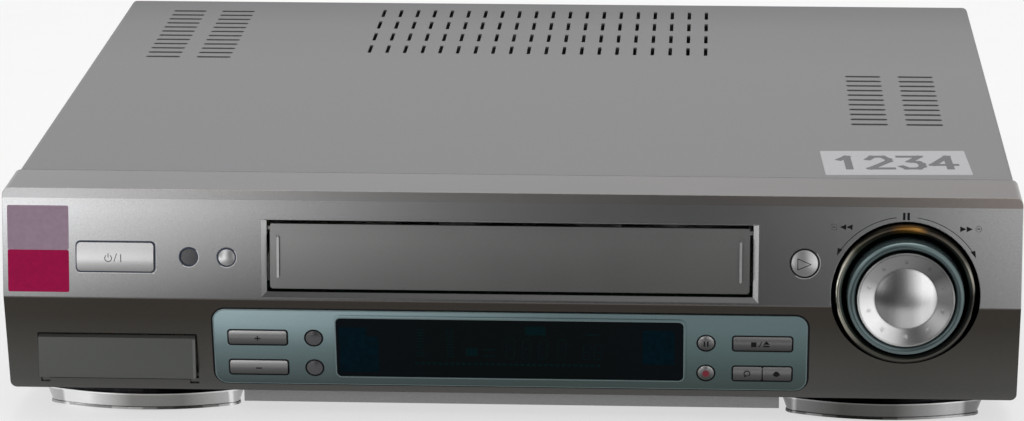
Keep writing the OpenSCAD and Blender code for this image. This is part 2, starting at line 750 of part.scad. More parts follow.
module rear_panel() color(steel) difference() {
    union() {
        block(-side_in + pan_t + fit, side_in - pan_t - fit, rear_plate_y, rear_plate_y + rear_plate_t,
            bezel_ground, body_h - sheet - fit);
        block(-side_in + pan_t + fit, side_in - pan_t - fit, rear_plate_y - 9, rear_plate_y + rear_plate_t,
            body_h - sheet - fit - rear_plate_t, body_h - sheet - fit);
    }
    for (x = scart_x) translate([x, 0, back_row_z]) slab(rear_plate_y - 2, 5) square([49, 17], center = true);
    for (x = phono_x, z = [back_row_z - 8, back_row_z + 8]) translate([x, 0, z])
        rod_y(5.2, rear_plate_y - 2, 5);
    translate([svideo_back_x, 0, back_row_z]) rod_y(6.2, rear_plate_y - 2, 5);
    translate([aerial_x, 0, back_row_z]) slab(rear_plate_y - 2, 5) square([46, 22], center = true);
    translate([inlet_x, 0, back_row_z]) slab(rear_plate_y - 2, 5) square([24, 14], center = true);
    for (i = [-5 : 5]) translate([inlet_x + 6 * i, 0, 74]) slab(rear_plate_y - 2, 5) rounded(2.6, 18, 1.2);
    for (x = rear_screw_xs) translate([x, 0, rear_screw_z]) rod_y(screw_r + 0.05, rear_plate_y - 2, 5);
}

// The tape mechanism on its steel deck plate
deck_z = 29.6;
deck_t = 1.6;
deck_half = 111;
deck_front = 40;
deck_back = 285;
deck_posts = [[-104, 50], [104, 50], [-104, 276], [104, 276]];
run = 0.05;
spindle_x = reel_pitch / 2;
spindle_y = crease_y + 145;
drum_x = -6;
drum_y = crease_y + 238;
drum_mid = 52;
capstan = [70, crease_y + 212];
capstan_r = 1.5;
pinch_pivot = [92, crease_y + 222];
pinch_len = 21.9;
pinch_rest = 166.7;
roller_r = 6.4;
idler_pivot = [0, crease_y + 178];
idler_len = 30;
idler_r = 14.8;
idler_pin = 1.5;
reel_r = 17;
cam = [-91, crease_y + 226];
cam_r = 19;
worm_x = cam[0] + cam_r + 4.6;
worm_z = deck_z + 11.4;
guide_start = 38;
guide_y = crease_y + 211;
guide_travel = 42;
guide_lean = 5;

module at(p, z) translate([p[0], p[1], z]) children();

module deck_plate() color(steel) difference() {
    union() {
        block(-deck_half, deck_half, crease_y + deck_front, crease_y + deck_back, deck_z - deck_t, deck_z);
        for (side = [-1, 1]) translate([side * (deck_half - 0.6), 0, 0])
            block(-0.6, 0.6, crease_y + deck_front + 8, crease_y + deck_back - 14, deck_z - 6, deck_z);
        at(capstan, deck_z - deck_t) cylinder(h = deck_t + 3.6, r = 4);
        at(cam, deck_z - skin) cylinder(h = worm_z - 3 - deck_z, r = 5);
        at(cam, deck_z) cylinder(h = worm_z + 4.5 - deck_z, r = 2);
        at(pinch_pivot, deck_z) cylinder(h = 26, r = 2);
        at(idler_pivot, deck_z) cylinder(h = 6, r = 2);
    }
    for (side = [-1, 1]) translate([side * spindle_x, spindle_y, deck_z - 5]) cylinder(h = 10, r = 2 + run);
    at(capstan, deck_z - 10) cylinder(h = 30, r = capstan_r + run);
    for (side = [-1, 1]) guide_path(side) translate([-1.8, -3, -5])
        cube([3.6, guide_travel + 7.2, 10]);
    for (x = [-75, -25, 25, 75]) translate([x, crease_y + 70, deck_z - 5])
        linear_extrude(10) rounded(30, 26, 4);
}

module guide_path(side) translate([drum_x + side * guide_start, guide_y, deck_z])
    rotate(-side * guide_lean) children();

module drum_frame() translate([drum_x, drum_y, drum_mid]) rotate([-drum_tilt, 0, 0]) children();

module lower_drum() color([0.75, 0.76, 0.78]) {
    difference() {
        union() {
            drum_frame() translate([0, 0, -15]) cylinder(h = 14.8, r = drum_dia / 2, $fn = 96);
            intersection() {
                drum_frame() translate([0, 0, -30]) cylinder(h = 20, r = drum_dia / 2 - 7);
                translate([drum_x, drum_y, deck_z]) cylinder(h = 20, r = drum_dia / 2 - 5);
            }
        }
        drum_frame() translate([0, 0, -12]) cylinder(h = 20, r = 3 + run);
        drum_frame() translate([0, 0, -1.6]) difference() {
            cylinder(h = 1.0, r = drum_dia / 2 + 1);
            cylinder(h = 1.0, r = drum_dia / 2 - 0.6);
        }
    }
}

module upper_drum() color([0.8, 0.81, 0.83]) drum_frame() {
    difference() {
        translate([0, 0, 0.1]) cylinder(h = 14, r = drum_dia / 2, $fn = 96);
        translate([0, 0, 11]) difference() {
            cylinder(h = 5, r = drum_dia / 2 - 5);
            cylinder(h = 5, r = 11);
        }
        for (a = [0 : 45 : 315]) rotate(a) translate([drum_dia / 2 - 1, -1.2, -1]) cube([3, 2.4, 3]);
    }
    translate([0, 0, 13]) cylinder(h = 3, r = 8);
    translate([0, 0, -11.5]) cylinder(h = 12, r = 3);
}

module capstan_flywheel() color(steel) at(capstan, 0) {
    translate([0, 0, deck_z - deck_t - 9]) difference() {
        cylinder(h = 7, r = 20);
        translate([0, 0, -1]) difference() {
            cylinder(h = 5, r = 16);
            cylinder(h = 5, r = 5);
        }
    }
    translate([0, 0, 12.6]) cylinder(h = 51.4, r = capstan_r);
}

module capstan_motor() color(board_green) at(capstan, 0) {
    difference() {
        union() {
            translate([-24, -24, bezel_ground]) cube([48, 48, 1.6]);
            translate([0, 0, bezel_ground]) cylinder(h = 3, r = 5);
            for (a = [0 : 30 : 330]) rotate(a) translate([12, 0, bezel_ground + 1.6]) cylinder(h = 4, r = 2.4);
        }
        translate([0, 0, bezel_ground + 1]) cylinder(h = 20, r = capstan_r + run);
    }
}

module pinch_arm() color(steel) at(pinch_pivot, 0) rotate(pinch_rest) difference() {
    union() {
        translate([0, 0, deck_z + 0.3]) cylinder(h = 22, r = 3.6);
        translate([0, -3.6, deck_z + 18]) cube([pinch_len, 7.2, 2]);
        translate([pinch_len, 0, deck_z + 18]) cylinder(h = 2, r = 3.6);
        translate([pinch_len, 0, deck_z + 4]) cylinder(h = 14.5, r = 1.2);
    }
    translate([0, 0, deck_z - 2]) cylinder(h = 40, r = 2 + run);
}

module pinch_roller() color(black) at(pinch_pivot, 0) rotate(pinch_rest)
    translate([pinch_len, 0, deck_z + 4.5]) difference() {
        cylinder(h = 13, r = roller_r);
        translate([0, 0, -1]) cylinder(h = 16, r = 1.2 + run);
    }

module reel_table(side) color(white) translate([side * spindle_x, spindle_y, deck_z]) {
    translate([0, 0, 0.4]) cylinder(h = 1.2, r = 5);
    translate([0, 0, 1.4]) linear_extrude(3.2) gear_shape(reel_r, 48, 0.7);
    translate([0, 0, 4.4]) cylinder(h = 1.2, r = 13);
    translate([0, 0, 5]) cylinder(h = 9, r = 5.5);
    translate([0, 0, 14]) cylinder(h = 3, r1 = 5.5, r2 = 2.5);
    for (a = [0, 120, 240]) rotate(a) translate([0, -1, 5]) cube([8.2, 2, 8]);
    translate([0, 0, -7]) cylinder(h = 8, r = 2);
}

// A spur wheel outline with pointed teeth inside its outer radius
module gear_shape(r, teeth, depth) polygon([for (i = [0 : 2 * teeth - 1])
    let (a = 180 * i / teeth, q = i % 2 == 0 ? r : r - depth) [q * cos(a), q * sin(a)]]);

module supply_reel() reel_table(-1);
module takeup_reel() reel_table(1);

module idler_arm() color(white) at(idler_pivot, deck_z) difference() {
    union() {
        translate([0, 0, 0.4]) cylinder(h = 6, r = 4.4);
        translate([-3, -idler_len, 5]) cube([6, idler_len, 1.4]);
        translate([0, -idler_len, 5]) cylinder(h = 1.4, r = 3.6);
        translate([0, -idler_len, 1]) cylinder(h = 5, r = idler_pin);
    }
    translate([0, 0, -2]) cylinder(h = 20, r = 2 + run);
}

module idler_wheel() color(white) at(idler_pivot, deck_z) translate([0, -idler_len, 1.4]) difference() {
    linear_extrude(3.2) gear_shape(idler_r, 42, 0.7);
    translate([0, 0, -1]) cylinder(h = 6, r = idler_pin + run);
}

worm_front = crease_y + 216;
worm_len = 26;
motor_len = 30;
motor_r = 11;

module loading_motor() color(steel) translate([worm_x, 0, worm_z]) {
    difference() {
        union() {
            rod_y(motor_r, worm_front + worm_len + 1.4, motor_len);
            rod_y(4, worm_front + worm_len + 0.9, motor_len + 2);
            block(-8, 8, worm_front + worm_len + 2, worm_front + worm_len + motor_len, -worm_z + deck_z, -6);
        }
        rod_y(1 + run, worm_front, worm_len + 8);
    }
}

module loading_worm() color(white) translate([worm_x, 0, worm_z]) {
    rod_y(2.6, worm_front, worm_len);
    for (i = [0 : 8]) rod_y(4, worm_front + 1.6 + i * 2.5, 1.1);
    rod_y(1, worm_front, worm_len + 7);
}

module cam_gear() color(white) at(cam, worm_z - 2.7) difference() {
    union() {
        linear_extrude(5) gear_shape(cam_r, 46, 0.9);
        cylinder(h = 6.4, r = 5);
    }
    translate([0, 0, -1]) cylinder(h = 12, r = 2 + run);
    translate([0, 0, 3]) difference() {
        cylinder(h = 5, r = 14.5);
        cylinder(h = 5, r = 11.5);
    }
}

// A guide post on a shoe that runs along its slot beside the drum
module tape_guide(side) color(steel) guide_path(side) {
    translate([-5, -5, 0.2]) cube([10, 12, 3]);
    translate([-1.6, -2.6, -2.4]) cube([3.2, 6, 3]);
    translate([-5, -5, -3.4]) cube([10, 10, 1.4]);
    translate([0, 0, 3]) cylinder(h = 28, r = 1.4);
    translate([0, 0, 12]) difference() {
        cylinder(h = 15, r = 3);
        translate([0, 0, -1]) cylinder(h = 20, r = 1.2);
    }
}

module supply_guide() tape_guide(-1);
module takeup_guide() tape_guide(1);

module head_block(x, y, w, d) color(steel) translate([x, crease_y + y, deck_z]) {
    cylinder(h = 12, r = 3);
    translate([-w / 2 - 1, -d / 2 - 1, 11]) cube([w + 2, d + 2, 1.4]);
    translate([-w / 2, -d / 2, 12.4]) cube([w, d, 18]);
    translate([0, -d / 2, 12.4]) cylinder(h = 18, r = w / 3);
}

module erase_head() head_block(-58, 208, 7, 6);
module control_head() head_block(53, 214, 10, 7);

// The carriage: fixed side plates, a slide that goes back, a carrier that goes down
frame_low = deck_z;
cage_t = 1.2;
carrier_half = tape_w / 2 + 0.5 + cage_t;
carrier_front = 36;
carrier_d = tape_d + 1;
door_floor_z = face_z(upper_lean, door_low, 0) + 0.6;
carrier_floor = door_floor_z - 1;
carrier_top = carrier_floor + 1 + tape_h + 0.6;
slide_half = carrier_half + fit + cage_t;
frame_half = slide_half + fit + cage_t;
rail_z = carrier_top + cage_t + 5;

module carriage_frame() color(steel) for (side = [-1, 1]) mirror([side > 0 ? 0 : 1, 0, 0]) {
    difference() {
        block(frame_half - cage_t, frame_half, crease_y + carrier_front,
            crease_y + carrier_front + carrier_d + carry_back, frame_low, rail_z - 0.2);
        for (y = [56, 110, 164]) translate([frame_half, crease_y + y, frame_low + 26])
            rotate([0, 90, 0]) translate([0, 0, -5]) linear_extrude(10) rounded(28, 36, 5);
    }
    block(frame_half - cage_t, frame_half + 7, crease_y + carrier_front + 8,
        crease_y + carrier_front + carrier_d + carry_back - 8, frame_low, frame_low + cage_t);
}

module carriage_slide() color([0.55, 0.56, 0.58]) {
    for (side = [-1, 1]) mirror([side > 0 ? 0 : 1, 0, 0]) {
        difference() {
            block(slide_half - cage_t, slide_half, crease_y + carrier_front,
                crease_y + carrier_front + carrier_d, carrier_floor - 8, rail_z + cage_t);
            for (y = pin_ys) translate([0, crease_y + y, 0])
                block(slide_half - 3, slide_half + 3, -pin_slot, pin_slot,
                    pin_z - carry_down - pin_slot, pin_z + pin_slot);
        }
        block(slide_half - cage_t, frame_half + 1, crease_y + carrier_front,
            crease_y + carrier_front + carrier_d, rail_z, rail_z + cage_t);
    }
    block(-slide_half, slide_half, crease_y + carrier_front + 70, crease_y + carrier_front + 86,
        rail_z, rail_z + cage_t);
}

pin_ys = [carrier_front + 22, carrier_front + carrier_d - 22];
pin_z = carrier_floor + 14;
carrier_pin = 1.5;
pin_slot = carrier_pin + 0.2;

module cassette_carrier() color([0.6, 0.61, 0.62]) {
    for (side = [-1, 1]) mirror([side > 0 ? 0 : 1, 0, 0]) {
        block(carrier_half - cage_t, carrier_half, crease_y + carrier_front,
            crease_y + carrier_front + carrier_d, carrier_floor, carrier_top + cage_t);
        block(carrier_half - 14, carrier_half, crease_y + carrier_front,
            crease_y + carrier_front + carrier_d, carrier_floor, carrier_floor + 1);
        for (y = pin_ys) translate([0, crease_y + y, pin_z])
            rod_x(carrier_pin, carrier_half - 0.1, cage_t + fit + 0.1);
    }
    difference() {
        block(-carrier_half, carrier_half, crease_y + carrier_front + 6,
            crease_y + carrier_front + carrier_d, carrier_top, carrier_top + cage_t);
        for (side = [-1, 1]) translate([side * spindle_x, crease_y + carrier_front + 52, carrier_top - 2])
            linear_extrude(6) rounded(60, 58, 6);
    }
}

// Torsion spring that closes the door, wound round the stud on its left lug. Its leg lies down the
// back of the door. Each ring of points is one step along the wire.
module door_spring() color(steel) upper_face() translate([spring_x, hinge_in, hinge_up]) {
    steps = 10;
    sides = 6;
    count = steps * spring_turns + 2;
    helix = [for (i = [0 : steps * spring_turns]) let (a = 360 / steps * i + 180)
        [spring_wire + (spring_len - 2 * spring_wire) * i / (steps * spring_turns),
            spring_r * cos(a), spring_r * sin(a), a]];
    path = concat([[spring_wire, -spring_r, -spring_leg, 180]], helix);
    polyhedron(
        [for (p = path, k = [0 : sides - 1]) let (b = 360 / sides * k)
            [p[0] + spring_wire * sin(b), p[1] + spring_wire * cos(b) * cos(p[3]),
                p[2] + spring_wire * cos(b) * sin(p[3])]],
        concat(
            [[for (k = [0 : sides - 1]) k]],
            [for (i = [0 : count - 2], k = [0 : sides - 1]) let (n = (k + 1) % sides)
                [i * sides + k, (i + 1) * sides + k, (i + 1) * sides + n, i * sides + n]],
            [[for (k = [0 : sides - 1]) (count - 1) * sides + sides - 1 - k]]));
}

// Circuit boards
board_t = 1.6;
board_z = 20;
board_out = side_in - 7.4;
// A place between the deck plate, at 0, and the side of the pan, at 1
function beside_deck(share) = deck_half + share * (side_in - deck_half);
board_posts = [[beside_deck(0.13), 50], [board_out - 8, 50], [board_out - 8, 200],
    [board_out - 8, body_d - 17], [-100, deck_back + 15],
    [-beside_deck(0.15), body_d - 205], [6 - board_out, body_d - 205],
    [-beside_deck(0.15), body_d - 21], [6 - board_out, body_d - 21]];
front_half = body_w / 2 - bezel_wall - 7.5;
tower_in = open_half + 7.5;
front_board_low = bezel_ground + bezel_wall + fit;
front_board_high = door_floor_z - 4.5;

function lower_switch_z(s) = crease_z + s * cos(lower_lean)
    + face_depth(lower_lean, s, switch_y) * sin(lower_lean);
function upper_switch_z(s) = crease_z + s * cos(upper_lean)
    - face_depth(-upper_lean, s, switch_y) * sin(upper_lean);

module tact_switch(x, z) translate([x, 0, z]) {
    slab(board_y - 3.6, 3.6) square([6, 6], center = true);
    rod_y(1.7, switch_y, 3);
}

module front_board() color(board_green) {
    difference() {
        union() {
            block(-front_half, front_half, board_y, board_y + board_t, front_board_low, front_board_high);
            for (side = [-1, 1]) mirror([side > 0 ? 0 : 1, 0, 0])
                block(tower_in, front_half, board_y, board_y + board_t, front_board_low, crease_z + 33);
        }
        dial_axis() translate([0, 0, -40]) cylinder(h = 40, r = 4);
    }
    for (x = [channel_x, function_x, pause_x], s = [row_high, row_low]) tact_switch(x, lower_switch_z(s));
    tact_switch(stop_x, lower_switch_z(row_high));
    for (side = [-1, 1]) tact_switch(stop_x + side * split_x, lower_switch_z(row_low));
    tact_switch(power_x, upper_switch_z(power_up));
    for (x = [mode_x, speed_x]) tact_switch(x, upper_switch_z(round_up));
    tact_switch(play_x, upper_switch_z(play_up));
    for (side = [-1, 1]) block(side * 150 - 3, side * 150 + 3, board_y + board_t, board_y + board_t + 12,
        front_board_low + 3, front_board_low + 6);
}

module capacitor(x, y, r, h) translate([x, y, board_top]) cylinder(h = h, r = r);

module chip(x, y, w, d) block(x - w / 2, x + w / 2, y - d / 2, y + d / 2, board_top, board_top + 2.4);

board_top = board_z + board_t;
socket_d = 16;
strip_front = crease_y + deck_back + 5;
strip_free = rear_plate_y - socket_d - strip_front;

module main_board() color(board_green) {
    block(deck_half + 4, board_out, crease_y + 42, back_y - 9, board_z, board_top);
    block(-deck_half - 1, deck_half + 9, strip_front, back_y - 9, board_z, board_top);
    for (i = [0 : 3]) chip(beside_deck(0.45), crease_y + 80 + i * 44, 26, 18);
    for (i = [0 : 4]) capacitor(beside_deck(0.775), crease_y + 100 + i * 18, 4, 11);
    for (i = [0 : 5]) capacitor(beside_deck(0.175), crease_y + 110 + i * 16, 3.2, 8);
    translate([0, crease_y + 240, board_top]) {
        block(beside_deck(0.2), beside_deck(0.2) + 2, 0, 40, 0, 30);
        block(beside_deck(0.57), board_out - 4, 0, 40, 0, 14);
    }
    for (x = [-100, -40, 70]) chip(x, strip_front + strip_free * 0.36, 16, strip_free * 0.28);
}

socket_back = back_y + rear_reach;

module rear_sockets() color(black) {
    for (x = scart_x) difference() {
        union() {
            block(x - 24, x + 24, rear_plate_y - socket_d, rear_plate_y, board_top, back_row_z + 8);
            translate([x, 0, back_row_z]) slab(rear_plate_y - 1, socket_back - rear_plate_y - 0.5)
                square([47, 15], center = true);
        }
        translate([x, 0, back_row_z]) slab(socket_back - 9, 12) polygon([
            [-22, -6], [22, -6], [22, 2], [17, 6], [-22, 6]]);
    }
    difference() {
        block(phono_x[0] - 8, phono_x[1] + 8, rear_plate_y - 14, rear_plate_y, board_top, back_row_z + 15);
        for (x = phono_x, z = [back_row_z - 8, back_row_z + 8]) translate([x, 0, z])
            rod_y(plug_hole_r, rear_plate_y - 8, 10);
    }
    for (x = phono_x, z = [back_row_z - 8, back_row_z + 8]) translate([x, 0, z]) difference() {
        union() {
            rod_y(5, rear_plate_y - skin, rear_plate_t + 1);
            rod_y(4.15, rear_plate_y, socket_back - rear_plate_y);
        }
        rod_y(plug_hole_r, rear_plate_y - 8, 30);
    }
    difference() {
        union() {
            block(svideo_back_x - 8, svideo_back_x + 8, rear_plate_y - 14, rear_plate_y,
                board_top, back_row_z + 8);
            translate([svideo_back_x, 0, back_row_z])
                rod_y(6, rear_plate_y - skin, socket_back - rear_plate_y - 1);
        }
        translate([svideo_back_x, 0, back_row_z]) rod_y(4.75, rear_plate_y - 1, 12);
    }
}

module tuner_module() color(steel) translate([aerial_x, 0, 0]) difference() {
    union() {
        block(-22, 22, strip_front + 4, rear_plate_y, board_top, back_row_z + 10);
        block(-22, 22, rear_plate_y - skin, rear_plate_y + 1.4, back_row_z - 10, back_row_z + 10);
        for (x = [-11, 11]) translate([x, 0, back_row_z])
            rod_y(5.2, rear_plate_y, socket_back - rear_plate_y);
    }
    for (x = [-11, 11]) translate([x, 0, back_row_z]) difference() {
        rod_y(4.2, socket_back - 6, 8);
        if (x > 0) rod_y(1.2, socket_back - 8, 7);
    }
}

module power_supply() color([0.75, 0.62, 0.35]) {
    block(-board_out, -deck_half - 7, back_y - 213, back_y - 13, board_z, board_top);
    translate([0, back_y - 110, board_top]) {
        block(-beside_deck(0.752), -beside_deck(0.336), -17, 17, 0, 28);
        block(-beside_deck(0.822), -beside_deck(0.266), -23, 23, 6, 22);
    }
    capacitor(-beside_deck(0.266), back_y - 61, 11, 30);
    for (i = [0 : 3]) capacitor(-beside_deck(0.22), back_y - 195 + i * 14, 5, 16);
    for (i = [0 : 2]) capacitor(-beside_deck(0.475), back_y - 193 + i * 16, 6, 18);
    block(-beside_deck(0.845), -beside_deck(0.66), back_y - 65, back_y - 41, board_top, board_top + 14);
}

sink_h = 34;
sink_d = 58;
fin_pitch = 8.8;

module heat_sink() color([0.7, 0.71, 0.72]) translate([-beside_deck(0.868), back_y - 199, board_top]) {
    block(0, 2, 0, sink_d, 0, sink_h);
    for (i = [0 : 6]) block(2 - skin, 12, 2 + i * fin_pitch, 3.4 + i * fin_pitch, 8, sink_h);
}

module mains_inlet() color(black) translate([inlet_x, 0, 0]) difference() {
    union() {
        block(-11.7, 11.7, rear_plate_y - 10, rear_plate_y, board_top, back_row_z + 7);
        translate([0, 0, back_row_z]) slab(rear_plate_y - 1, 4) rounded(23.4, 13.4, 1);
    }
    translate([0, 0, back_row_z]) slab(rear_plate_y - 8, 14) {
        for (x = [-4.4, 4.4]) translate([x, 0]) circle(4.2);
        square([8.8, 5], center = true);
    }
}

top_cover();
front_bezel();
bottom_chassis();
rear_panel();
front_feet();
rear_feet();
foot_pads();
cover_screws();
cassette_door();
door_spring();
control_panel();
display_window();
display_tube();
av_flap();
front_sockets();
power_button();
mode_button();
speed_button();
play_button();
channel_up_button();
channel_down_button();
upper_function_button();
lower_function_button();
pause_button();
record_button();
stop_eject_button();
insert_button();
dub_button();
shuttle_ring();
shuttle_trim();
jog_dial();
dial_encoder();
front_board();
deck_plate();
lower_drum();
upper_drum();
capstan_flywheel();
capstan_motor();
pinch_arm();
pinch_roller();
supply_reel();
takeup_reel();
idler_arm();
idler_wheel();
loading_motor();
loading_worm();
cam_gear();
supply_guide();
takeup_guide();
erase_head();
control_head();
carriage_frame();
carriage_slide();
cassette_carrier();
main_board();
rear_sockets();
tuner_module();
power_supply();
mains_inlet();
heat_sink();
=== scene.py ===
"""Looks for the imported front-loading video cassette recorder: materials, prints, trims, light."""
import math

import bpy
import bmesh
from mathutils import Matrix, Vector


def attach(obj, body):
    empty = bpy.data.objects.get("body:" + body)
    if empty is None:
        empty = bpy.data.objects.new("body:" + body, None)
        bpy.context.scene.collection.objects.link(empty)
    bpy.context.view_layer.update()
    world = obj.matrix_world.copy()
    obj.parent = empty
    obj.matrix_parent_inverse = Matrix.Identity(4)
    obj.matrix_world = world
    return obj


# ---------------------------------------------------------------- camera, first of all
IMAGE_W, IMAGE_H = 1024, 421
FOCAL_PX = 3879.1
CAMERA_AT = (0.0795, -1.6261, 0.4956)
YAW, PITCH, ROLL = math.radians(3.09), math.radians(15.53), math.radians(0.18)
PRINCIPAL = (511.0, 205.0)


def make_camera():
    data = bpy.data.cameras.new("view_camera")
    data.sensor_width = 36.0
    data.lens = FOCAL_PX / IMAGE_W * 36.0
    data.shift_x = (IMAGE_W / 2 - PRINCIPAL[0]) / IMAGE_W
    data.shift_y = (PRINCIPAL[1] - IMAGE_H / 2) / IMAGE_W
    data.clip_start, data.clip_end = 0.05, 60.0
    cam = bpy.data.objects.new("view_camera", data)
    forward = Vector((-math.sin(YAW) * math.cos(PITCH), math.cos(YAW) * math.cos(PITCH), -math.sin(PITCH)))
    right = Vector((math.cos(YAW), math.sin(YAW), 0.0))
    down = forward.cross(right)
    right_rolled = math.cos(ROLL) * right + math.sin(ROLL) * down
    up = -(-math.sin(ROLL) * right + math.cos(ROLL) * down)
    turn = Matrix((right_rolled, up, -forward)).transposed()
    cam.matrix_world = Matrix.Translation(CAMERA_AT) @ turn.to_4x4()
    bpy.context.scene.collection.objects.link(cam)
    bpy.context.scene.camera = cam


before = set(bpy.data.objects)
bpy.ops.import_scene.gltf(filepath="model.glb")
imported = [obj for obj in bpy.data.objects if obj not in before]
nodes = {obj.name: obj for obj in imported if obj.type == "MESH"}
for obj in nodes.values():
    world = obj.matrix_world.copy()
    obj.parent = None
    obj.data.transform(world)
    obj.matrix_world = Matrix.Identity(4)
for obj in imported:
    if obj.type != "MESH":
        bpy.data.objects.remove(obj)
make_camera()
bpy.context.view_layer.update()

# ---------------------------------------------------------------- sizes that part.scad also has
MM = 0.001
CREASE_Y, CREASE_Z = -171.7, 51.2
UPPER, LOWER = math.radians(7.0), math.radians(11.7)
DIAL_X, DIAL_Z, DIAL_S = 155.0, 55.6, 4.4
BODY_H = 94.0


def on_upper(x, s, t):
    """A point s up the upper front face and t behind it."""
    return Vector((x, CREASE_Y + t * math.cos(UPPER) + s * math.sin(UPPER),
                   CREASE_Z + s * math.cos(UPPER) - t * math.sin(UPPER))) * MM


def on_lower(x, s, t):
    """A point s up the lower front face, so s is negative, and t behind it."""
    return Vector((x, CREASE_Y + t * math.cos(LOWER) - s * math.sin(LOWER),
                   CREASE_Z + s * math.cos(LOWER) + t * math.sin(LOWER))) * MM


def on_top(x, s, t):
    """s is the distance behind the crease, t the depth below the cover's top."""
    return Vector((x, CREASE_Y + s, BODY_H - t)) * MM


# ---------------------------------------------------------------- materials
# a noise lies between these two values
NOISE_LOW, NOISE_HIGH = 0.15, 0.85


def greys(stops):
    """Colour stops from places and plain values."""
    return [(place, (value, value, value)) for place, value in stops]


class Graph:
    """A principled material with short calls for the nodes that feed it."""

    def __init__(self, name, rough, metal, color):
        self.mat = bpy.data.materials.new(name)
        self.mat.use_nodes = True
        self.tree = self.mat.node_tree
        self.bsdf = self.tree.nodes["Principled BSDF"]
        self.set("Roughness", rough)
        self.set("Metallic", metal)
        self.set("Base Color", (*color, 1.0))
        coords = self.tree.nodes.new("ShaderNodeTexCoord")
        self.coords = coords.outputs["Object"]

    def set(self, socket, value):
        self.bsdf.inputs[socket].default_value = value

    def link(self, a, b):
        self.tree.links.new(a, b)

    def feed(self, sock, value):
        """Links the value where it comes from another node, or else sets it."""
        if isinstance(value, bpy.types.NodeSocket):
            self.link(value, sock)
        else:
            sock.default_value = value

    def node(self, kind, **inputs):
        n = self.tree.nodes.new("ShaderNode" + kind)
        for key, value in inputs.items():
            self.feed(n.inputs[key], value)
        return n

    def noise(self, scale, detail=2.0, stretch=None):
        coords = self.coords
        if stretch:
            coords = self.node("Mapping", Vector=coords, Scale=stretch).outputs[0]
        return self.node("TexNoise", Vector=coords, Scale=scale, Detail=detail).outputs["Fac"]

    def ramp(self, fac, stops):
        n = self.tree.nodes.new("ShaderNodeValToRGB")
        self.link(fac, n.inputs[0])
        ramp = n.color_ramp
        while len(ramp.elements) < len(stops):
            ramp.elements.new(0.5)
        for el, (pos, col) in zip(ramp.elements, stops):
            el.position = pos
            el.color = (*col, 1.0)
        return n.outputs[0]

    def math(self, op, a, b=0.0):
        n = self.tree.nodes.new("ShaderNodeMath")
        n.operation = op
        self.feed(n.inputs[0], a)
        self.feed(n.inputs[1], b)
        return n.outputs[0]

    def remap(self, fac, lo, hi, out_lo, out_hi):
        n = self.tree.nodes.new("ShaderNodeMapRange")
        self.link(fac, n.inputs["Value"])
        for key, value in (("From Min", lo), ("From Max", hi), ("To Min", out_lo), ("To Max", out_hi)):
            n.inputs[key].default_value = value
        return n.outputs[0]

    def mix(self, fac, a, b, blend="MIX"):
        n = self.tree.nodes.new("ShaderNodeMix")
        n.data_type = "RGBA"
        n.blend_type = blend
        # of this node's sockets, 6 and 7 are the colours that go in and 2 is the one that comes out
        for i, value in ((0, fac), (6, a), (7, b)):
            self.feed(n.inputs[i], value)
        return n.outputs[2]

    def times(self, a, b):
        return self.mix(1.0, a, b, "MULTIPLY")

    def axis(self, which):
        n = self.node("SeparateXYZ", Vector=self.coords)
        return n.outputs["XYZ".index(which)]

    def facing(self, which):
        """How far the surface faces along one of the object's axes, from -1 to 1."""
        n = self.node("SeparateXYZ", Vector=self.tree.nodes["Texture Coordinate"].outputs["Normal"])
        return n.outputs["XYZ".index(which)]

    def color(self, socket):
        self.link(socket, self.bsdf.inputs["Base Color"])

    def rough(self, socket):
        self.link(socket, self.bsdf.inputs["Roughness"])

    def gloss(self, pattern, low, high):
        """Roughness that follows a noise, which stays clear of both clamps."""
        self.rough(self.remap(pattern, NOISE_LOW, NOISE_HIGH, low, high))

    def grain(self, amount, tone, pattern, dark=0.3):
        """The colour: a tone, darkened a little where the fine noise is low."""
        self.color(self.mix(amount, tone, self.ramp(pattern, greys([(0.3, dark), (0.7, 1.0)])), "MULTIPLY"))

    def bump(self, height, strength, distance, round_edge):
        n = self.node("Bump", Strength=strength, Distance=distance, Height=height)
        if round_edge:
            b = self.tree.nodes.new("ShaderNodeBevel")
            b.samples = 4
            b.inputs["Radius"].default_value = round_edge
            self.link(b.outputs[0], n.inputs["Normal"])
        self.link(n.outputs[0], self.bsdf.inputs["Normal"])


def speckled(name, color, rough, metal, spread, scale, bump, edge, wear=0.06):
    """A surface with fine grain in its colour, patchy wear in its gloss, and a slight texture."""
    g = Graph(name, rough, metal, color)
    fine = g.noise(scale)
    low = tuple(c * (1 - spread) for c in color)
    high = tuple(min(1.0, c * (1 + spread)) for c in color)
    g.color(g.ramp(fine, [(0.3, low), (0.7, high)]))
    cloud = g.noise(18.0, 4.0)
    g.gloss(cloud, max(0.02, rough - wear), rough + wear)
    g.bump(fine, bump, 0.0001, edge)
    return g


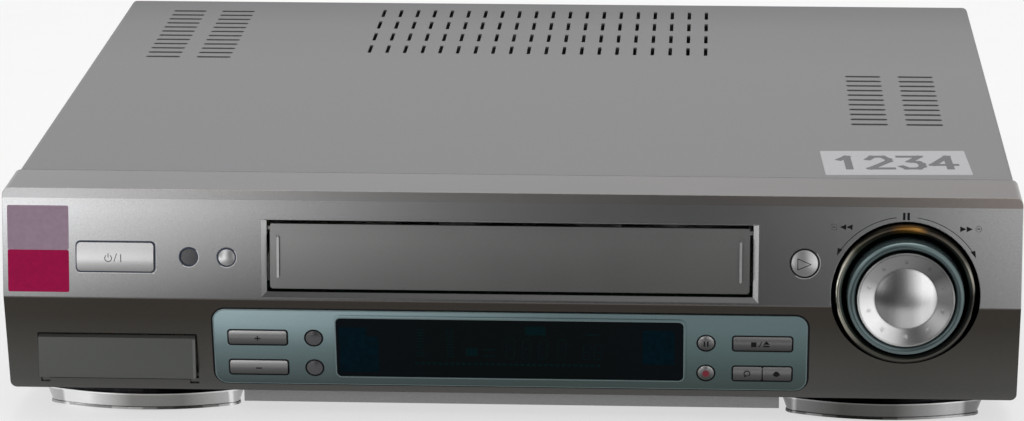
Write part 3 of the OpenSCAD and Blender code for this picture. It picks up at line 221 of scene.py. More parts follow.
def two_tone_bezel_painted_light():
    """Silver lacquer above the crease, darker and warmer below it as two-tone paint, with painted light over both:
    a painted reflection lighter again near the table, a painted highlight at the crease, painted shade towards the
    crease and on faces turned up, and painted light along the top edge and the two ends.
    """
    g = Graph("bezel_lacquer", 0.25, 1.0, (0.5, 0.5, 0.5))
    flake = g.noise(2600.0, 2.0)
    height = g.axis("Z")
    crease, top = CREASE_Z * MM, BODY_H * MM
    # below the crease: the darker paint, with a painted reflection that grows lighter towards the table and a
    # painted highlight right at the crease
    below = g.ramp(g.remap(height, 0.010, crease, 0.0, 1.0), [
        (0.0, (0.105, 0.103, 0.098)), (0.12, (0.083, 0.082, 0.078)), (0.4, (0.070, 0.067, 0.061)),
        (0.8, (0.046, 0.042, 0.036)), (0.985, (0.044, 0.039, 0.034)), (1.0, (0.16, 0.15, 0.145))])
    above = g.ramp(g.remap(height, crease, top, 0.0, 1.0), [
        (0.0, (0.42, 0.42, 0.42)), (0.85, (0.46, 0.46, 0.465)), (1.0, (0.46, 0.45, 0.44))])
    # painted reflection falling off: the upper face darkens towards the crease, more at the left than at the right
    fall = g.remap(g.axis("X"), -0.11, 0.105, 0.62, 0.2)
    depth = g.remap(height, crease, 0.086, 1.0, 0.0)
    painted_falloff = g.math("SUBTRACT", 1.0, g.math("MULTIPLY", fall, depth))
    tone = g.mix(g.math("GREATER_THAN", height, crease), below, g.times(above, painted_falloff))
    # painted shade: faces that turn upwards are darker
    painted_facing_shade = g.ramp(g.facing("Z"), [(0.25, (1.0, 1.0, 1.0)), (0.4, (0.62, 0.61, 0.6)), (0.6, (0.42, 0.42, 0.42)),
                                   (0.9, (0.315, 0.312, 0.32))])
    tone = g.times(tone, painted_facing_shade)
    # painted reflection along the top edge: lighter at the left, darker and warmer at the right
    painted_lip_reflection = g.ramp(g.remap(g.axis("X"), -0.19, 0.19, 0.0, 1.0), [
        (0.0, (1.1, 1.12, 1.16)), (0.5, (1.0, 1.0, 1.0)), (1.0, (0.84, 0.76, 0.72))])
    tone = g.mix(g.math("GREATER_THAN", height, 0.0903), tone, g.times(tone, painted_lip_reflection))
    # painted light and shade along the face: lighter at the far left end, a little darker in a band near the right
    # end
    edges = g.ramp(g.remap(g.axis("X"), -0.2, 0.2, 0.0, 1.0), [
        (0.0, (1.08, 1.09, 1.1)), (0.12, (1.0, 1.0, 1.0)), (0.8, (1.0, 1.0, 1.0)), (0.88, (0.93, 0.94, 0.93)),
        (0.95, (1.0, 1.0, 1.0))])
    tone = g.times(tone, edges)
    g.grain(0.22, tone, flake)
    g.gloss(g.noise(14.0, 4.0), 0.21, 0.265)
    g.bump(flake, 0.05, 0.0001, 0.0004)
    return g


def panel_lacquer():
    """Blue-green lacquer with a painted reflection: light along the top at the left and falling off downwards and
    to the right.
    """
    g = Graph("panel_lacquer", 0.3, 0.55, (0.17, 0.27, 0.275))
    fine = g.noise(2400.0, 2.0)
    # painted reflection: lightest along the top at the left, darker downwards and towards the right
    down = g.remap(g.axis("Z"), 0.0137, 0.0468, 1.0, 0.0)
    left = g.ramp(down, [(0.0, (0.44, 0.58, 0.61)), (0.18, (0.37, 0.5, 0.53)), (0.5, (0.165, 0.235, 0.245)),
                         (0.78, (0.105, 0.15, 0.155)), (1.0, (0.058, 0.08, 0.083))])
    right = g.ramp(down, [(0.0, (0.145, 0.215, 0.23)), (0.2, (0.14, 0.21, 0.22)), (0.5, (0.1, 0.155, 0.155)),
                          (0.78, (0.07, 0.108, 0.108)), (1.0, (0.055, 0.082, 0.075))])
    tone = g.mix(g.remap(g.axis("X"), -0.11, 0.02, 0.0, 1.0), left, right)
    g.grain(0.1, tone, fine, 0.2)
    g.gloss(g.noise(18.0, 3.0), 0.28, 0.335)
    g.bump(fine, 0.04, 0.0001, 0.0003)
    return g


def key_lacquer(name, stops, right=1.0, ends=1.5):
    """Lacquered keys with painted light: lighter where the bulge faces up and at its ends, painted shade where it
    faces down, and darker towards the right where right is below 1.
    """
    g = Graph(name, 0.27, 0.85, (0.4, 0.4, 0.4))
    fine = g.noise(2600.0, 2.0)
    # painted light: lighter where the bulge faces up, painted shade where it faces down
    tone = g.ramp(g.remap(g.facing("Z"), -0.6, 0.6, 0.0, 1.0), greys(stops))
    # painted shade towards the right, and painted highlights where the key's ends face sideways
    side = g.remap(g.axis("X"), -0.12, 0.08, 1.0, right)
    side = g.math("MULTIPLY", side, g.remap(g.math("ABSOLUTE", g.facing("X")), 0.25, 0.6, 1.0, ends))
    g.grain(0.1, g.times(tone, side), fine)
    g.gloss(g.noise(30.0, 3.0), 0.28, 0.33)
    g.bump(fine, 0.03, 0.0001, 0.0002)
    return g


def foot_chrome():
    """Bright metal with painted reflections: the pale bands that the curved wall of a foot shows near its two
    ends, with painted light and shade up the wall and from one foot to the other.
    """
    g = Graph("foot_chrome", 0.16, 1.0, (0.4, 0.4, 0.4))
    fine = g.noise(900.0, 2.0)
    place = g.math("ABSOLUTE", g.axis("X"))
    # painted reflections: pale bands near the two ends of each foot's curved wall
    bands = g.ramp(g.remap(place, 0.107, 0.189, 0.0, 1.0), [
        (0.0, (0.3, 0.3, 0.3)), (0.055, (0.45, 0.45, 0.45)), (0.07, (1.0, 1.0, 1.0)),
        (0.085, (0.42, 0.42, 0.42)), (0.3, (0.165, 0.163, 0.156)), (0.55, (0.2, 0.198, 0.19)),
        (0.72, (0.6, 0.6, 0.6)), (0.81, (1.0, 1.0, 1.0)), (0.88, (1.0, 1.0, 1.0)),
        (0.9, (0.42, 0.42, 0.42)), (1.0, (0.5, 0.5, 0.5))])
    # painted light: the left foot lighter than the right
    side = g.remap(g.axis("X"), -0.12, 0.12, 1.3, 0.55)
    # painted shade in a line above the base flange, a painted highlight along the rim, and painted shade on the
    # top inside the rim
    top = g.ramp(g.remap(g.axis("Z"), 0.0, 0.0108, 0.0, 1.0), [
        (0.0, (0.8, 0.8, 0.8)), (0.13, (0.6, 0.6, 0.6)), (0.16, (1.0, 1.0, 1.0)), (0.66, (1.0, 1.0, 1.0)),
        (0.69, (1.7, 1.7, 1.7)), (0.725, (1.7, 1.7, 1.7)), (0.735, (0.06, 0.06, 0.07))])
    tone = g.times(g.times(bands, side), top)
    g.grain(0.08, tone, fine)
    g.gloss(g.noise(20.0, 3.0), 0.12, 0.2)
    g.bump(fine, 0.02, 0.0001, 0.0002)
    return g


def round_dial(g):
    """Radius, angle (0 to 1 from the left through the bottom) and sideways place on the dial's face."""
    across = g.math("SUBTRACT", g.axis("X"), DIAL_X * MM)
    up = g.math("SUBTRACT", g.axis("Z"), DIAL_Z * MM)
    radius = g.math("SQRT", g.math("ADD", g.math("MULTIPLY", across, across), g.math("MULTIPLY", up, up)))
    return radius, g.remap(g.math("ARCTAN2", up, across), -math.pi, math.pi, 0.0, 1.0), across


def ring_chrome():
    """Dark chrome on the dial's rolled ring, with painted reflections: pale along its crest at the left and,
    thinly, at the right, and warm orange at the top.
    """
    g = Graph("ring_chrome", 0.13, 1.0, (0.06, 0.055, 0.05))
    fine = g.noise(900.0, 2.0)
    radius, angle, _ = round_dial(g)
    # painted reflection across the ring's section: dark on its two slopes, pale on its crest
    tone = g.ramp(g.remap(radius, 0.0230, 0.0287, 0.0, 1.0), [
        (0.0, (0.02, 0.02, 0.019)), (0.3, (0.04, 0.038, 0.035)), (0.42, (0.5, 0.49, 0.45)),
        (0.7, (0.7, 0.68, 0.62)), (0.8, (0.08, 0.075, 0.065)), (1.0, (0.04, 0.038, 0.034))])
    # painted reflections round the ring: pale at the left, thin at the right, warm orange at the top
    painted_reflection_arcs = g.ramp(angle, [
        (0.0, (1.0, 1.0, 0.95)), (0.06, (0.5, 0.5, 0.45)), (0.14, (0.1, 0.1, 0.09)), (0.4, (0.1, 0.1, 0.1)),
        (0.5, (0.1, 0.1, 0.1)), (0.55, (0.45, 0.45, 0.43)), (0.59, (0.12, 0.12, 0.11)), (0.7, (0.08, 0.07, 0.06)),
        (0.725, (0.45, 0.24, 0.07)), (0.76, (0.35, 0.18, 0.05)), (0.79, (0.08, 0.07, 0.06)),
        (0.88, (0.12, 0.12, 0.1)), (0.93, (0.9, 0.9, 0.85)), (1.0, (1.0, 1.0, 0.95))])
    g.grain(1.0, g.times(tone, painted_reflection_arcs), fine, 0.94)
    g.gloss(g.noise(40.0, 2.0), 0.11, 0.16)
    g.bump(fine, 0.01, 0.0001, 0.0002)
    return g


def jog_lacquer():
    """Silver lacquer of the inner dial, with painted reflections: its dished rim light at the lower left, its dome
    light at the right.
    """
    g = Graph("jog_lacquer", 0.25, 0.95, (0.5, 0.5, 0.5))
    fine = g.noise(2600.0, 2.0)
    radius, angle, across = round_dial(g)
    # painted reflection round the dished rim: lightest at the left and lower left, darkest at the upper right
    rim = g.ramp(angle, greys([
        (0.0, 0.72), (0.1, 0.74), (0.19, 0.54), (0.25, 0.42), (0.375, 0.3), (0.444, 0.26), (0.5, 0.4),
        (0.556, 0.2), (0.6, 0.09), (0.667, 0.13), (0.75, 0.2), (0.833, 0.22), (0.917, 0.3), (0.98, 0.68),
        (1.0, 0.72)]))
    # painted reflection across the dome: dark at the left, light at the right
    middle = g.ramp(g.remap(across, -0.0122, 0.0122, 0.0, 1.0), greys([
        (0.0, 0.22), (0.2, 0.21), (0.3, 0.27), (0.36, 0.36), (0.44, 0.45), (0.6, 0.5), (0.68, 0.62), (0.76, 0.75),
        (0.92, 0.75), (1.0, 0.5)]))
    tone = g.mix(g.math("GREATER_THAN", radius, 0.01215), middle, rim)
    g.grain(0.1, tone, fine)
    g.gloss(g.noise(60.0, 2.0), 0.23, 0.27)
    g.bump(fine, 0.03, 0.0001, 0.0012)
    return g


def window_acrylic():
    """Smoked acrylic, nearly black with a blue-green cast, and deep blue towards its two ends."""
    g = Graph("window_acrylic", 0.12, 0.0, (0.002, 0.006, 0.008))
    g.set("Specular IOR Level", 0.05)
    fine = g.noise(300.0, 2.0)
    ends = g.ramp(g.remap(g.axis("X"), -0.07, 0.07, 0.0, 1.0), [
        (0.0, (0.0008, 0.0055, 0.009)), (0.3, (0.0006, 0.0042, 0.0055)), (0.7, (0.0006, 0.004, 0.005)),
        (1.0, (0.0008, 0.005, 0.008))])
    g.grain(0.3, ends, fine, 0.4)
    g.gloss(g.noise(25.0, 2.0), 0.1, 0.16)
    return g


def door_lacquer():
    """The door's lacquer, with painted light: lighter towards the top and towards the right."""
    g = Graph("door_lacquer", 0.27, 0.85, (0.3, 0.3, 0.3))
    fine = g.noise(2600.0, 2.0)
    # painted light: lighter towards the top, and towards the right most of all at the foot
    low = g.remap(g.axis("Z"), 0.056, 0.074, 0.0, 1.0)
    left = g.ramp(low, [(0.0, (0.215, 0.215, 0.213)), (1.0, (0.325, 0.325, 0.322))])
    right = g.ramp(low, [(0.0, (0.285, 0.283, 0.277)), (1.0, (0.35, 0.35, 0.345))])
    tone = g.mix(g.remap(g.axis("X"), -0.09, 0.07, 0.0, 1.0), left, right)
    g.grain(0.12, tone, fine)
    g.gloss(g.noise(60.0, 4.0), 0.28, 0.31)
    g.bump(fine, 0.03, 0.0001, 0.0)
    return g


def cover_paint():
    g = Graph("cover_paint", 0.5, 0.0, (0.3, 0.3, 0.31))
    g.set("Specular IOR Level", 0.22)
    fine = g.noise(1800.0, 2.0)
    cloud = g.noise(7.0, 5.0)
    base = g.ramp(fine, [(0.3, (0.21, 0.21, 0.215)), (0.7, (0.24, 0.24, 0.246))])
    back = g.ramp(g.remap(g.axis("Y"), 0.05, 0.173, 0.0, 1.0), greys([
        (0.0, 1.0), (0.6, 0.9), (1.0, 0.66)]))
    base = g.times(base, back)
    g.color(g.mix(0.12, base, g.ramp(cloud, [(0.35, (0.17, 0.17, 0.17)), (0.65, (0.28, 0.28, 0.285))])))
    g.gloss(cloud, 0.46, 0.56)
    g.bump(fine, 0.12, 0.0001, 0.0003)
    return g


def brushed(name, color, rough, stretch):
    g = Graph(name, rough, 1.0, color)
    lines = g.noise(900.0, 3.0, stretch)
    g.color(g.ramp(lines, [(0.3, tuple(c * 0.86 for c in color)), (0.7, color)]))
    g.gloss(lines, rough - 0.05, rough + 0.08)
    g.bump(lines, 0.08, 0.0001, 0.0002)
    return g


def circuit(name, mask, copper, tall_z):
    """Solder mask with faint tracks below tall_z, dark and tinned parts above it."""
    g = Graph(name, 0.4, 0.0, mask)
    tracks = g.node("TexVoronoi", Vector=g.coords, Scale=260.0)
    tracks.distance = "CHEBYCHEV"
    tracks.feature = "F1"
    lane = g.ramp(tracks.outputs["Distance"], [(0.42, mask), (0.47, copper), (0.52, mask)])
    parts = g.ramp(g.noise(60.0, 0.0), [(0.42, (0.02, 0.02, 0.022)), (0.5, (0.05, 0.05, 0.12)),
                                        (0.58, (0.3, 0.3, 0.31))])
    g.color(g.mix(g.math("GREATER_THAN", g.axis("Z"), tall_z), lane, parts))
    g.gloss(g.noise(40.0, 2.0), 0.3, 0.5)
    g.bump(tracks.outputs["Distance"], 0.1, 0.0002, 0.0002)
    return g


MATS = {
    "bezel": two_tone_bezel_painted_light(),
    "cover": cover_paint(),
    "door": door_lacquer(),
    # the keys' stops are painted light, from faces turned down to faces turned up
    "key": key_lacquer("key_lacquer", [(0.0, 0.16), (0.35, 0.3), (0.55, 0.62), (0.75, 0.5)]),
    "panel_key": key_lacquer("panel_key_lacquer",
                             [(0.0, 0.07), (0.3, 0.12), (0.5, 0.24), (0.7, 0.53), (1.0, 0.58)], 0.76, 2.0),
    "dark_key": speckled("dark_key_lacquer", (0.09, 0.09, 0.095), 0.35, 0.6, 0.1, 2600.0, 0.04, 0.0003),
    "flap": speckled("flap_lacquer", (0.095, 0.099, 0.093), 0.38, 0.6, 0.08, 2600.0, 0.06, 0.0003),
    "teal": panel_lacquer(),
    "trim": speckled("trim_lacquer", (0.12, 0.165, 0.17), 0.22, 0.6, 0.05, 2400.0, 0.03, 0.0002),
    "dial": jog_lacquer(),
    "dark_chrome": ring_chrome(),
    "chrome": foot_chrome(),
    "pan": speckled("pan_paint", (0.37, 0.37, 0.372), 0.42, 0.3, 0.06, 1800.0, 0.1, 0.0002),
    "zinc": brushed("zinc_plate", (0.62, 0.62, 0.60), 0.34, (1.0, 12.0, 12.0)),
    "turned": brushed("turned_aluminium", (0.75, 0.76, 0.77), 0.2, (1.0, 1.0, 30.0)),
    "black": speckled("black_moulding", (0.022, 0.022, 0.023), 0.45, 0.0, 0.15, 1600.0, 0.12, 0.0002),
    "rubber": speckled("black_rubber", (0.02, 0.02, 0.02), 0.75, 0.0, 0.2, 1200.0, 0.25, 0.0002),
    "white": speckled("white_acetal", (0.72, 0.72, 0.69), 0.4, 0.0, 0.03, 1400.0, 0.05, 0.0002),
    "green": circuit("green_board", (0.02, 0.11, 0.045), (0.05, 0.2, 0.08), 0.0217),
    "front_green": circuit("front_board_green", (0.02, 0.11, 0.045), (0.05, 0.2, 0.08), 0.2),
    "tan": circuit("tan_board", (0.42, 0.27, 0.1), (0.5, 0.36, 0.16), 0.0217),
    "window": window_acrylic(),
}

NODE_MATERIAL = {
    "top_cover": "cover", "front_bezel": "bezel", "bottom_chassis": "pan", "front_feet": "chrome",
    "cassette_door": "door", "control_panel": "teal", "shuttle_trim": "trim", "display_window": "window",
    "av_flap": "flap", "mode_button": "dark_key", "upper_function_button": "dark_key",
    "lower_function_button": "dark_key", "shuttle_ring": "dark_chrome", "jog_dial": "dial",
    "front_board": "front_green", "main_board": "green", "capstan_motor": "front_green", "power_supply": "tan",
    "lower_drum": "turned", "upper_drum": "turned", "heat_sink": "turned",
    "foot_pads": "rubber", "pinch_roller": "rubber",
}
for name in ("power", "speed", "play"):
    NODE_MATERIAL[name + "_button"] = "key"
for name in ("channel_up", "channel_down", "pause", "record", "stop_eject", "insert", "dub"):
    NODE_MATERIAL[name + "_button"] = "panel_key"
for name in ("supply_reel", "takeup_reel", "idler_arm", "idler_wheel", "loading_worm", "cam_gear"):
    NODE_MATERIAL[name] = "white"
for name in ("rear_feet", "front_sockets", "dial_encoder", "display_tube", "rear_sockets", "mains_inlet"):
    NODE_MATERIAL[name] = "black"

for name, obj in nodes.items():
    mat = MATS[NODE_MATERIAL.get(name, "zinc")].mat
    if not obj.material_slots:
        obj.data.materials.append(mat)
    for slot in obj.material_slots:
        slot.material = mat

# ---------------------------------------------------------------- small pieces: prints, labels, trims, painted gap shade, painted highlights
PRINT = {
    # print ink, also laid as painted shade in the gaps round the panel, the play key and the panel's keys
    "ink": speckled("print_ink_and_painted_gap_shade", (0.012, 0.012, 0.014), 0.5, 0.0, 0.2, 1500.0, 0.05, 0.0),
    # painted shade, a dark blue-black, in the gaps round the upper keys
    "painted_gap_shade_blue": speckled("painted_recess_shade", (0.03, 0.045, 0.09), 0.4, 0.0, 0.15, 1500.0, 0.05, 0.0),
    "red_ink": speckled("record_ink", (0.27, 0.008, 0.03), 0.45, 0.0, 0.1, 1500.0, 0.05, 0.0),
    "lilac": speckled("lilac_label", (0.55, 0.395, 0.51), 0.5, 0.0, 0.06, 500.0, 0.05, 0.0, 0.08),
    "crimson": speckled("crimson_label", (0.58, 0.012, 0.11), 0.5, 0.0, 0.06, 500.0, 0.05, 0.0, 0.08),
    "paper": speckled("white_label", (0.46, 0.455, 0.47), 0.5, 0.0, 0.03, 600.0, 0.06, 0.0, 0.05),
    "grey_ink": speckled("grey_ink", (0.09, 0.088, 0.095), 0.5, 0.0, 0.1, 900.0, 0.05, 0.0),
    # painted highlight, pale, on rims and grips where the light catches them
    "rim_light": speckled("painted_rim_highlight", (0.6, 0.6, 0.6), 0.35, 0.5, 0.05, 900.0, 0.03, 0.0),
    # painted highlight along the panel's edge and the window's rim
    "teal_light": speckled("painted_teal_edge_highlight", (0.2, 0.27, 0.28), 0.35, 0.3, 0.05, 900.0, 0.03, 0.0),
    # painted highlight along the flap's right edge
    "flap_light": speckled("painted_flap_edge_highlight", (0.16, 0.163, 0.158), 0.35, 0.5, 0.06, 2600.0, 0.05, 0.0),
    "yellow": speckled("yellow_collar", (0.62, 0.42, 0.02), 0.4, 0.0, 0.05, 900.0, 0.05, 0.0),
    "white": speckled("white_collar", (0.7, 0.7, 0.68), 0.4, 0.0, 0.04, 900.0, 0.05, 0.0),
    "red": speckled("red_collar", (0.5, 0.015, 0.012), 0.4, 0.0, 0.05, 900.0, 0.05, 0.0),
    "plating": brushed("jack_plating", (0.66, 0.64, 0.58), 0.19, (1.0, 8.0, 8.0)),
    "ghost": speckled("unlit_segment", (0.0035, 0.02, 0.023), 0.36, 0.0, 0.2, 1500.0, 0.02, 0.0),
    "deep_blue": speckled("deep_blue_print", (0.0018, 0.015, 0.024), 0.36, 0.0, 0.25, 400.0, 0.02, 0.0),
}
for name, level in (("ghost", 0.02), ("deep_blue", 0.02), ("lilac", 0.06), ("crimson", 0.04), ("ink", 0.1)):
    PRINT[name].set("Specular IOR Level", level)

# steps round a quarter circle, and how much the tops of shapes that overlap differ, so that none share a plane
CORNER_STEPS = 5
STAGGER = 0.003


def new_object(name, bm, material):
    """Turns a finished bmesh into an object of the scene."""
    mesh = bpy.data.meshes.new(name)
    bm.to_mesh(mesh)
    bm.free()
    mesh.materials.append(material)
    obj = bpy.data.objects.new(name, mesh)
    bpy.context.scene.collection.objects.link(obj)
    return obj


def tablet(name, loops, place, material, body, raise_by, sink=0.05):
    """Thin raised shapes on a surface: each loop of 2-D points becomes a closed low prism."""
    bm = bmesh.new()
    for i, loop in enumerate(loops):
        top = [bm.verts.new(place(x, y, -raise_by - STAGGER * (i % 6))) for x, y in loop]
        low = [bm.verts.new(place(x, y, sink)) for x, y in loop]
        bm.faces.new(top)
        bm.faces.new(low[::-1])
        n = len(loop)
        for k in range(n):
            bm.faces.new([top[k], low[k], low[(k + 1) % n], top[(k + 1) % n]])
    bmesh.ops.recalc_face_normals(bm, faces=bm.faces[:])
    obj = new_object(name, bm, material)
    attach(obj, body)


def rect(cx, cy, w, h):
    return [(cx - w / 2, cy - h / 2), (cx + w / 2, cy - h / 2), (cx + w / 2, cy + h / 2), (cx - w / 2, cy + h / 2)]


def round_rect(cx, cy, w, h, r):
    pts = []
    for qx, qy, start in ((1, 1, 0), (-1, 1, 90), (-1, -1, 180), (1, -1, 270)):
        for i in range(CORNER_STEPS + 1):
            a = math.radians(start + 90 * i / CORNER_STEPS)
            pts.append((cx + qx * (w / 2 - r) + r * math.cos(a), cy + qy * (h / 2 - r) + r * math.sin(a)))
    return pts


def disc(cx, cy, r, steps=28):
    return [(cx + r * math.cos(2 * math.pi * i / steps), cy + r * math.sin(2 * math.pi * i / steps))
            for i in range(steps)]


def band(outer, inner):
    """The strip between two outlines with the same number of points, as separate quads."""
    n = len(outer)
    return [[outer[i], outer[(i + 1) % n], inner[(i + 1) % n], inner[i]] for i in range(n)]


def arc(cx, cy, r, width, a0, a1, steps):
    """A curved line from angle a0 to a1, in degrees, as quads."""
    def ring(radius, i):
        a = math.radians(a0 + (a1 - a0) * i / steps)
        return (cx + radius * math.cos(a), cy + radius * math.sin(a))
    inner, outer = r - width / 2, r + width / 2
    return [[ring(inner, i), ring(outer, i), ring(outer, i + 1), ring(inner, i + 1)]
            for i in range(steps)]


def triangle(cx, cy, w, h, left=False):
    s = -1 if left else 1
    return [(cx - s * w / 2, cy - h / 2), (cx + s * w / 2, cy), (cx - s * w / 2, cy + h / 2)]


def line(points, width, closed=False, step=0.8):
    """Straight strokes along a row of points, as quads no longer than step so that they follow a bulge."""
    quads = []
    ends = points[1:] + points[:1] if closed else points[1:]
    for (ax, ay), (bx, by) in zip(points, ends):
        length = math.hypot(bx - ax, by - ay)
        u, v = (bx - ax) / length * width / 2, (by - ay) / length * width / 2
        parts = max(1, math.ceil(length / step))
        cuts = [((ax - u) + (bx - ax + 2 * u) * i / parts, (ay - v) + (by - ay + 2 * v) * i / parts)
                for i in range(parts + 1)]
        quads += [[(cx + v, cy - u), (cx - v, cy + u), (dx - v, dy + u), (dx + v, dy - u)]
                  for (cx, cy), (dx, dy) in zip(cuts, cuts[1:])]
    return quads


def bulge(centre, height, proud):
    """The front of a long key, as a level over the face's plane."""
    rise = 0.55 * proud
    big = (height * height / 4 + rise * rise) / (2 * rise)
    return lambda x, s: proud - big + math.sqrt(big * big - (s - centre) ** 2)


def dome(cx, cs, radius, proud):
    rise = 0.6 * proud
    big = (radius * radius + rise * rise) / (2 * rise)
    return lambda x, s: proud - big + math.sqrt(big * big - (x - cx) ** 2 - (s - cs) ** 2)


def face_body(name, loops, face, ink, body="cabinet", level=0.0, raise_by=0.04, sink=0.05):
    """Prints on one of the two front faces, at a level in front of it, and the strips of painted gap shade and
    painted highlight there.
    """
    place = on_upper if face == "upper" else on_lower
    lift = level if callable(level) else lambda x, s: level
    tablet(name, loops, lambda x, s, t: place(x, s, t - lift(x, s)), PRINT[ink].mat, body, raise_by, sink)


UPPER_KEYS = {"power": (-155.2, 16.3), "mode": (-126.3, 16.5), "speed": (-111.3, 16.5), "play": (115.6, 16.9)}
ROW_HIGH, ROW_LOW = -16.95, -30.4
STOP_X, PAUSE_X, LONG_KEY = 99.7, 77.5, 22.9
KEY_H, KEY_R, KEY_PROUD = 6.0, 3.2, 1.4
TURN_R = 31.2
PANEL_S, PANEL_W, PANEL_H, PANEL_PROUD = -21.2, 234.6, 33.4, 0.5
WINDOW_S, WINDOW_W, WINDOW_H, WINDOW_PROUD = -20.8, 137.0, 26.0, 0.9

# painted shade in the gaps round the keys on the upper face, with a painted highlight on a rim where the light
# catches their lower right
px, ps = UPPER_KEYS["power"]
face_body("power_key_outline", band(round_rect(px, ps, 31.7, 12.7, 1.9), round_rect(px, ps, 30.7, 11.7, 1.6)),
          "upper", "painted_gap_shade_blue")
face_body("power_key_rim", line([(-170.0, 9.75), (-139.9, 9.75)], 0.28)
          + line([(-139.1, 10.6), (-139.1, 22.0)], 0.22)
          + arc(px + 14.15, ps - 4.65, 1.9, 0.26, 270, 360, 5), "upper", "rim_light")
for key, outer in (("mode", 3.85), ("speed", 3.85), ("play", 5.9)):
    cx, cs = UPPER_KEYS[key]
    face_body(key + "_key_outline", band(disc(cx, cs, outer), disc(cx, cs, outer - 0.5)), "upper",
              "ink" if key == "play" else "painted_gap_shade_blue")
    face_body(key + "_key_rim", arc(cx, cs, outer + 0.2, 0.35, -125, 40, 20), "upper", "rim_light")

# generic icons on and round the upper keys
face_body("power_icon", arc(-157.9, 15.9, 1.35, 0.32, 125, 415, 20) + line([(-157.9, 16.3), (-157.9, 17.7)], 0.32)
          + line([(-155.6, 14.6), (-154.6, 17.6)], 0.28) + line([(-152.9, 14.5), (-152.9, 17.4)], 0.32), "upper",
          "grey_ink", "power", bulge(ps, 11.4, 1.6), 0.04, 0.1)
face_body("play_icon", line([(112.9, 18.8), (112.9, 14.4), (118.0, 16.6)], 0.3, True), "upper", "ink", "play",
          dome(*UPPER_KEYS["play"], 5.15, 1.1), 0.04, 0.1)
face_body("pause_mark", [rect(153.95, 35.85, 0.95, 2.9), rect(155.65, 35.85, 0.95, 2.9)], "upper", "ink")
face_body("turn_left_line", arc(DIAL_X, DIAL_S, TURN_R, 0.25, 97.5, 146, 24), "upper", "ink")
face_body("turn_right_line", arc(DIAL_X, DIAL_S, TURN_R, 0.25, 82.5, 33, 24), "upper", "ink")
face_body("turn_left_arrow", [[(128.1, 20.1), (130.2, 22.6), (128.3, 23.2)]], "upper", "ink")
face_body("turn_right_arrow", [[(182.1, 19.6), (181.7, 22.7), (179.9, 22.2)]], "upper", "ink")
face_body("rewind_mark", [triangle(130.3, 31.4, 2.4, 2.2, True), triangle(132.8, 31.4, 2.4, 2.2, True)], "upper",
          "ink")
face_body("forward_mark", [triangle(176.9, 31.1, 2.4, 2.2), triangle(179.4, 31.1, 2.4, 2.2)], "upper", "ink")
face_body("rewind_box_mark", line([(125.6, 30.4), (127.8, 30.4), (127.8, 32.3), (125.6, 32.3)], 0.18, True)
          + [rect(126.7, 31.35, 1.1, 0.5)], "upper", "grey_ink")
face_body("forward_disc_mark", arc(182.9, 31.2, 1.15, 0.18, 0, 360, 20) + [rect(182.9, 31.2, 1.2, 0.5)], "upper",
          "grey_ink")

# grips standing in the two grooves of the door, pale with a painted highlight
for side, tag in ((-1, "left"), (1, "right")):
    face_body("door_grip_" + tag, [round_rect(side * 90.85 - 0.15, 16.8, 0.95, 16.2, 0.45)], "upper", "rim_light",
              "door", 0.0, 0.25, 1.2)

# labels: two coloured halves in front, and a pale one with plain digits on the cover
for tag, s, h, ink in (("upper", 27.55, 17.7, "lilac"), ("lower", 10.3, 16.8, "crimson")):
    face_body("front_label_" + tag, [round_rect(-185.85, s, 24.3, h, 0.7)], "upper", ink, "cabinet",
              0.0, 0.1, 0.1)
LABEL_X, LABEL_S, LABEL_W, LABEL_H = 152.7, 58.4, 58.5, 37.5
LABEL_TURN = math.radians(2.4)


def on_label(u, v, t):
    """A point on the turned label, from its middle."""
    return on_top(LABEL_X + u * math.cos(LABEL_TURN) - v * math.sin(LABEL_TURN),
                  LABEL_S + u * math.sin(LABEL_TURN) + v * math.cos(LABEL_TURN), t)


tablet("top_label", [round_rect(0, 0, LABEL_W, LABEL_H, 0.8)], on_label, PRINT["paper"].mat, "cabinet",
       0.02)
# the strokes of 1, 2, 3 and 4 in a unit box
DIGITS = [[(0.2, 0.75), (0.55, 1), (0.55, 0)],
          [(0.05, 0.78), (0.28, 1), (0.72, 1), (0.95, 0.78), (0.95, 0.62), (0.05, 0), (1, 0)],
          [(0.05, 1), (0.92, 1), (0.45, 0.58), (0.8, 0.54), (0.95, 0.38), (0.95, 0.16), (0.75, 0), (0.25, 0),
           (0.05, 0.16)],
          [(0.74, 0), (0.74, 1), (0, 0.3), (1, 0.3)]]
DIGIT_W, DIGIT_H, DIGIT_LOW = 9.0, 18.4, -8.8
for i, path in enumerate(DIGITS):
    x0 = -24.0 + i * 12.9
    strokes = line([(x0 + DIGIT_W * u, DIGIT_LOW + DIGIT_H * v) for u, v in path], 3.1, step=90.0)
    tablet("label_digit_%d" % (i + 1), strokes, on_label, PRINT["grey_ink"].mat, "cabinet",
           0.03, 0.02)

# the panel: painted shade in the gap round it, painted highlights along its edges and the rim of the window, and
# what shows behind the acrylic
face_body("panel_gap", band(round_rect(0, PANEL_S, PANEL_W + 1.6, PANEL_H + 0.5, 5.4),
                            round_rect(0, PANEL_S, PANEL_W + 0.3, PANEL_H + 0.3, 5.1)), "lower", "ink")
face_body("panel_edge", band(round_rect(0, PANEL_S, PANEL_W - 0.2, PANEL_H - 0.2, 4.9),
                             round_rect(0, PANEL_S, PANEL_W - 0.9, PANEL_H - 0.7, 4.6)), "lower", "teal_light",
          "cabinet", PANEL_PROUD)
face_body("window_rim", band(round_rect(0, WINDOW_S, WINDOW_W + 1.1, WINDOW_H + 1.1, 2.4),
                             round_rect(0, WINDOW_S, WINDOW_W + 0.4, WINDOW_H + 0.4, 2.1)),
          "lower", "teal_light", "cabinet", WINDOW_PROUD)


def behind_glass(name, loops, ink):
    face_body(name, loops, "lower", ink, "cabinet", PANEL_PROUD, 0.03)


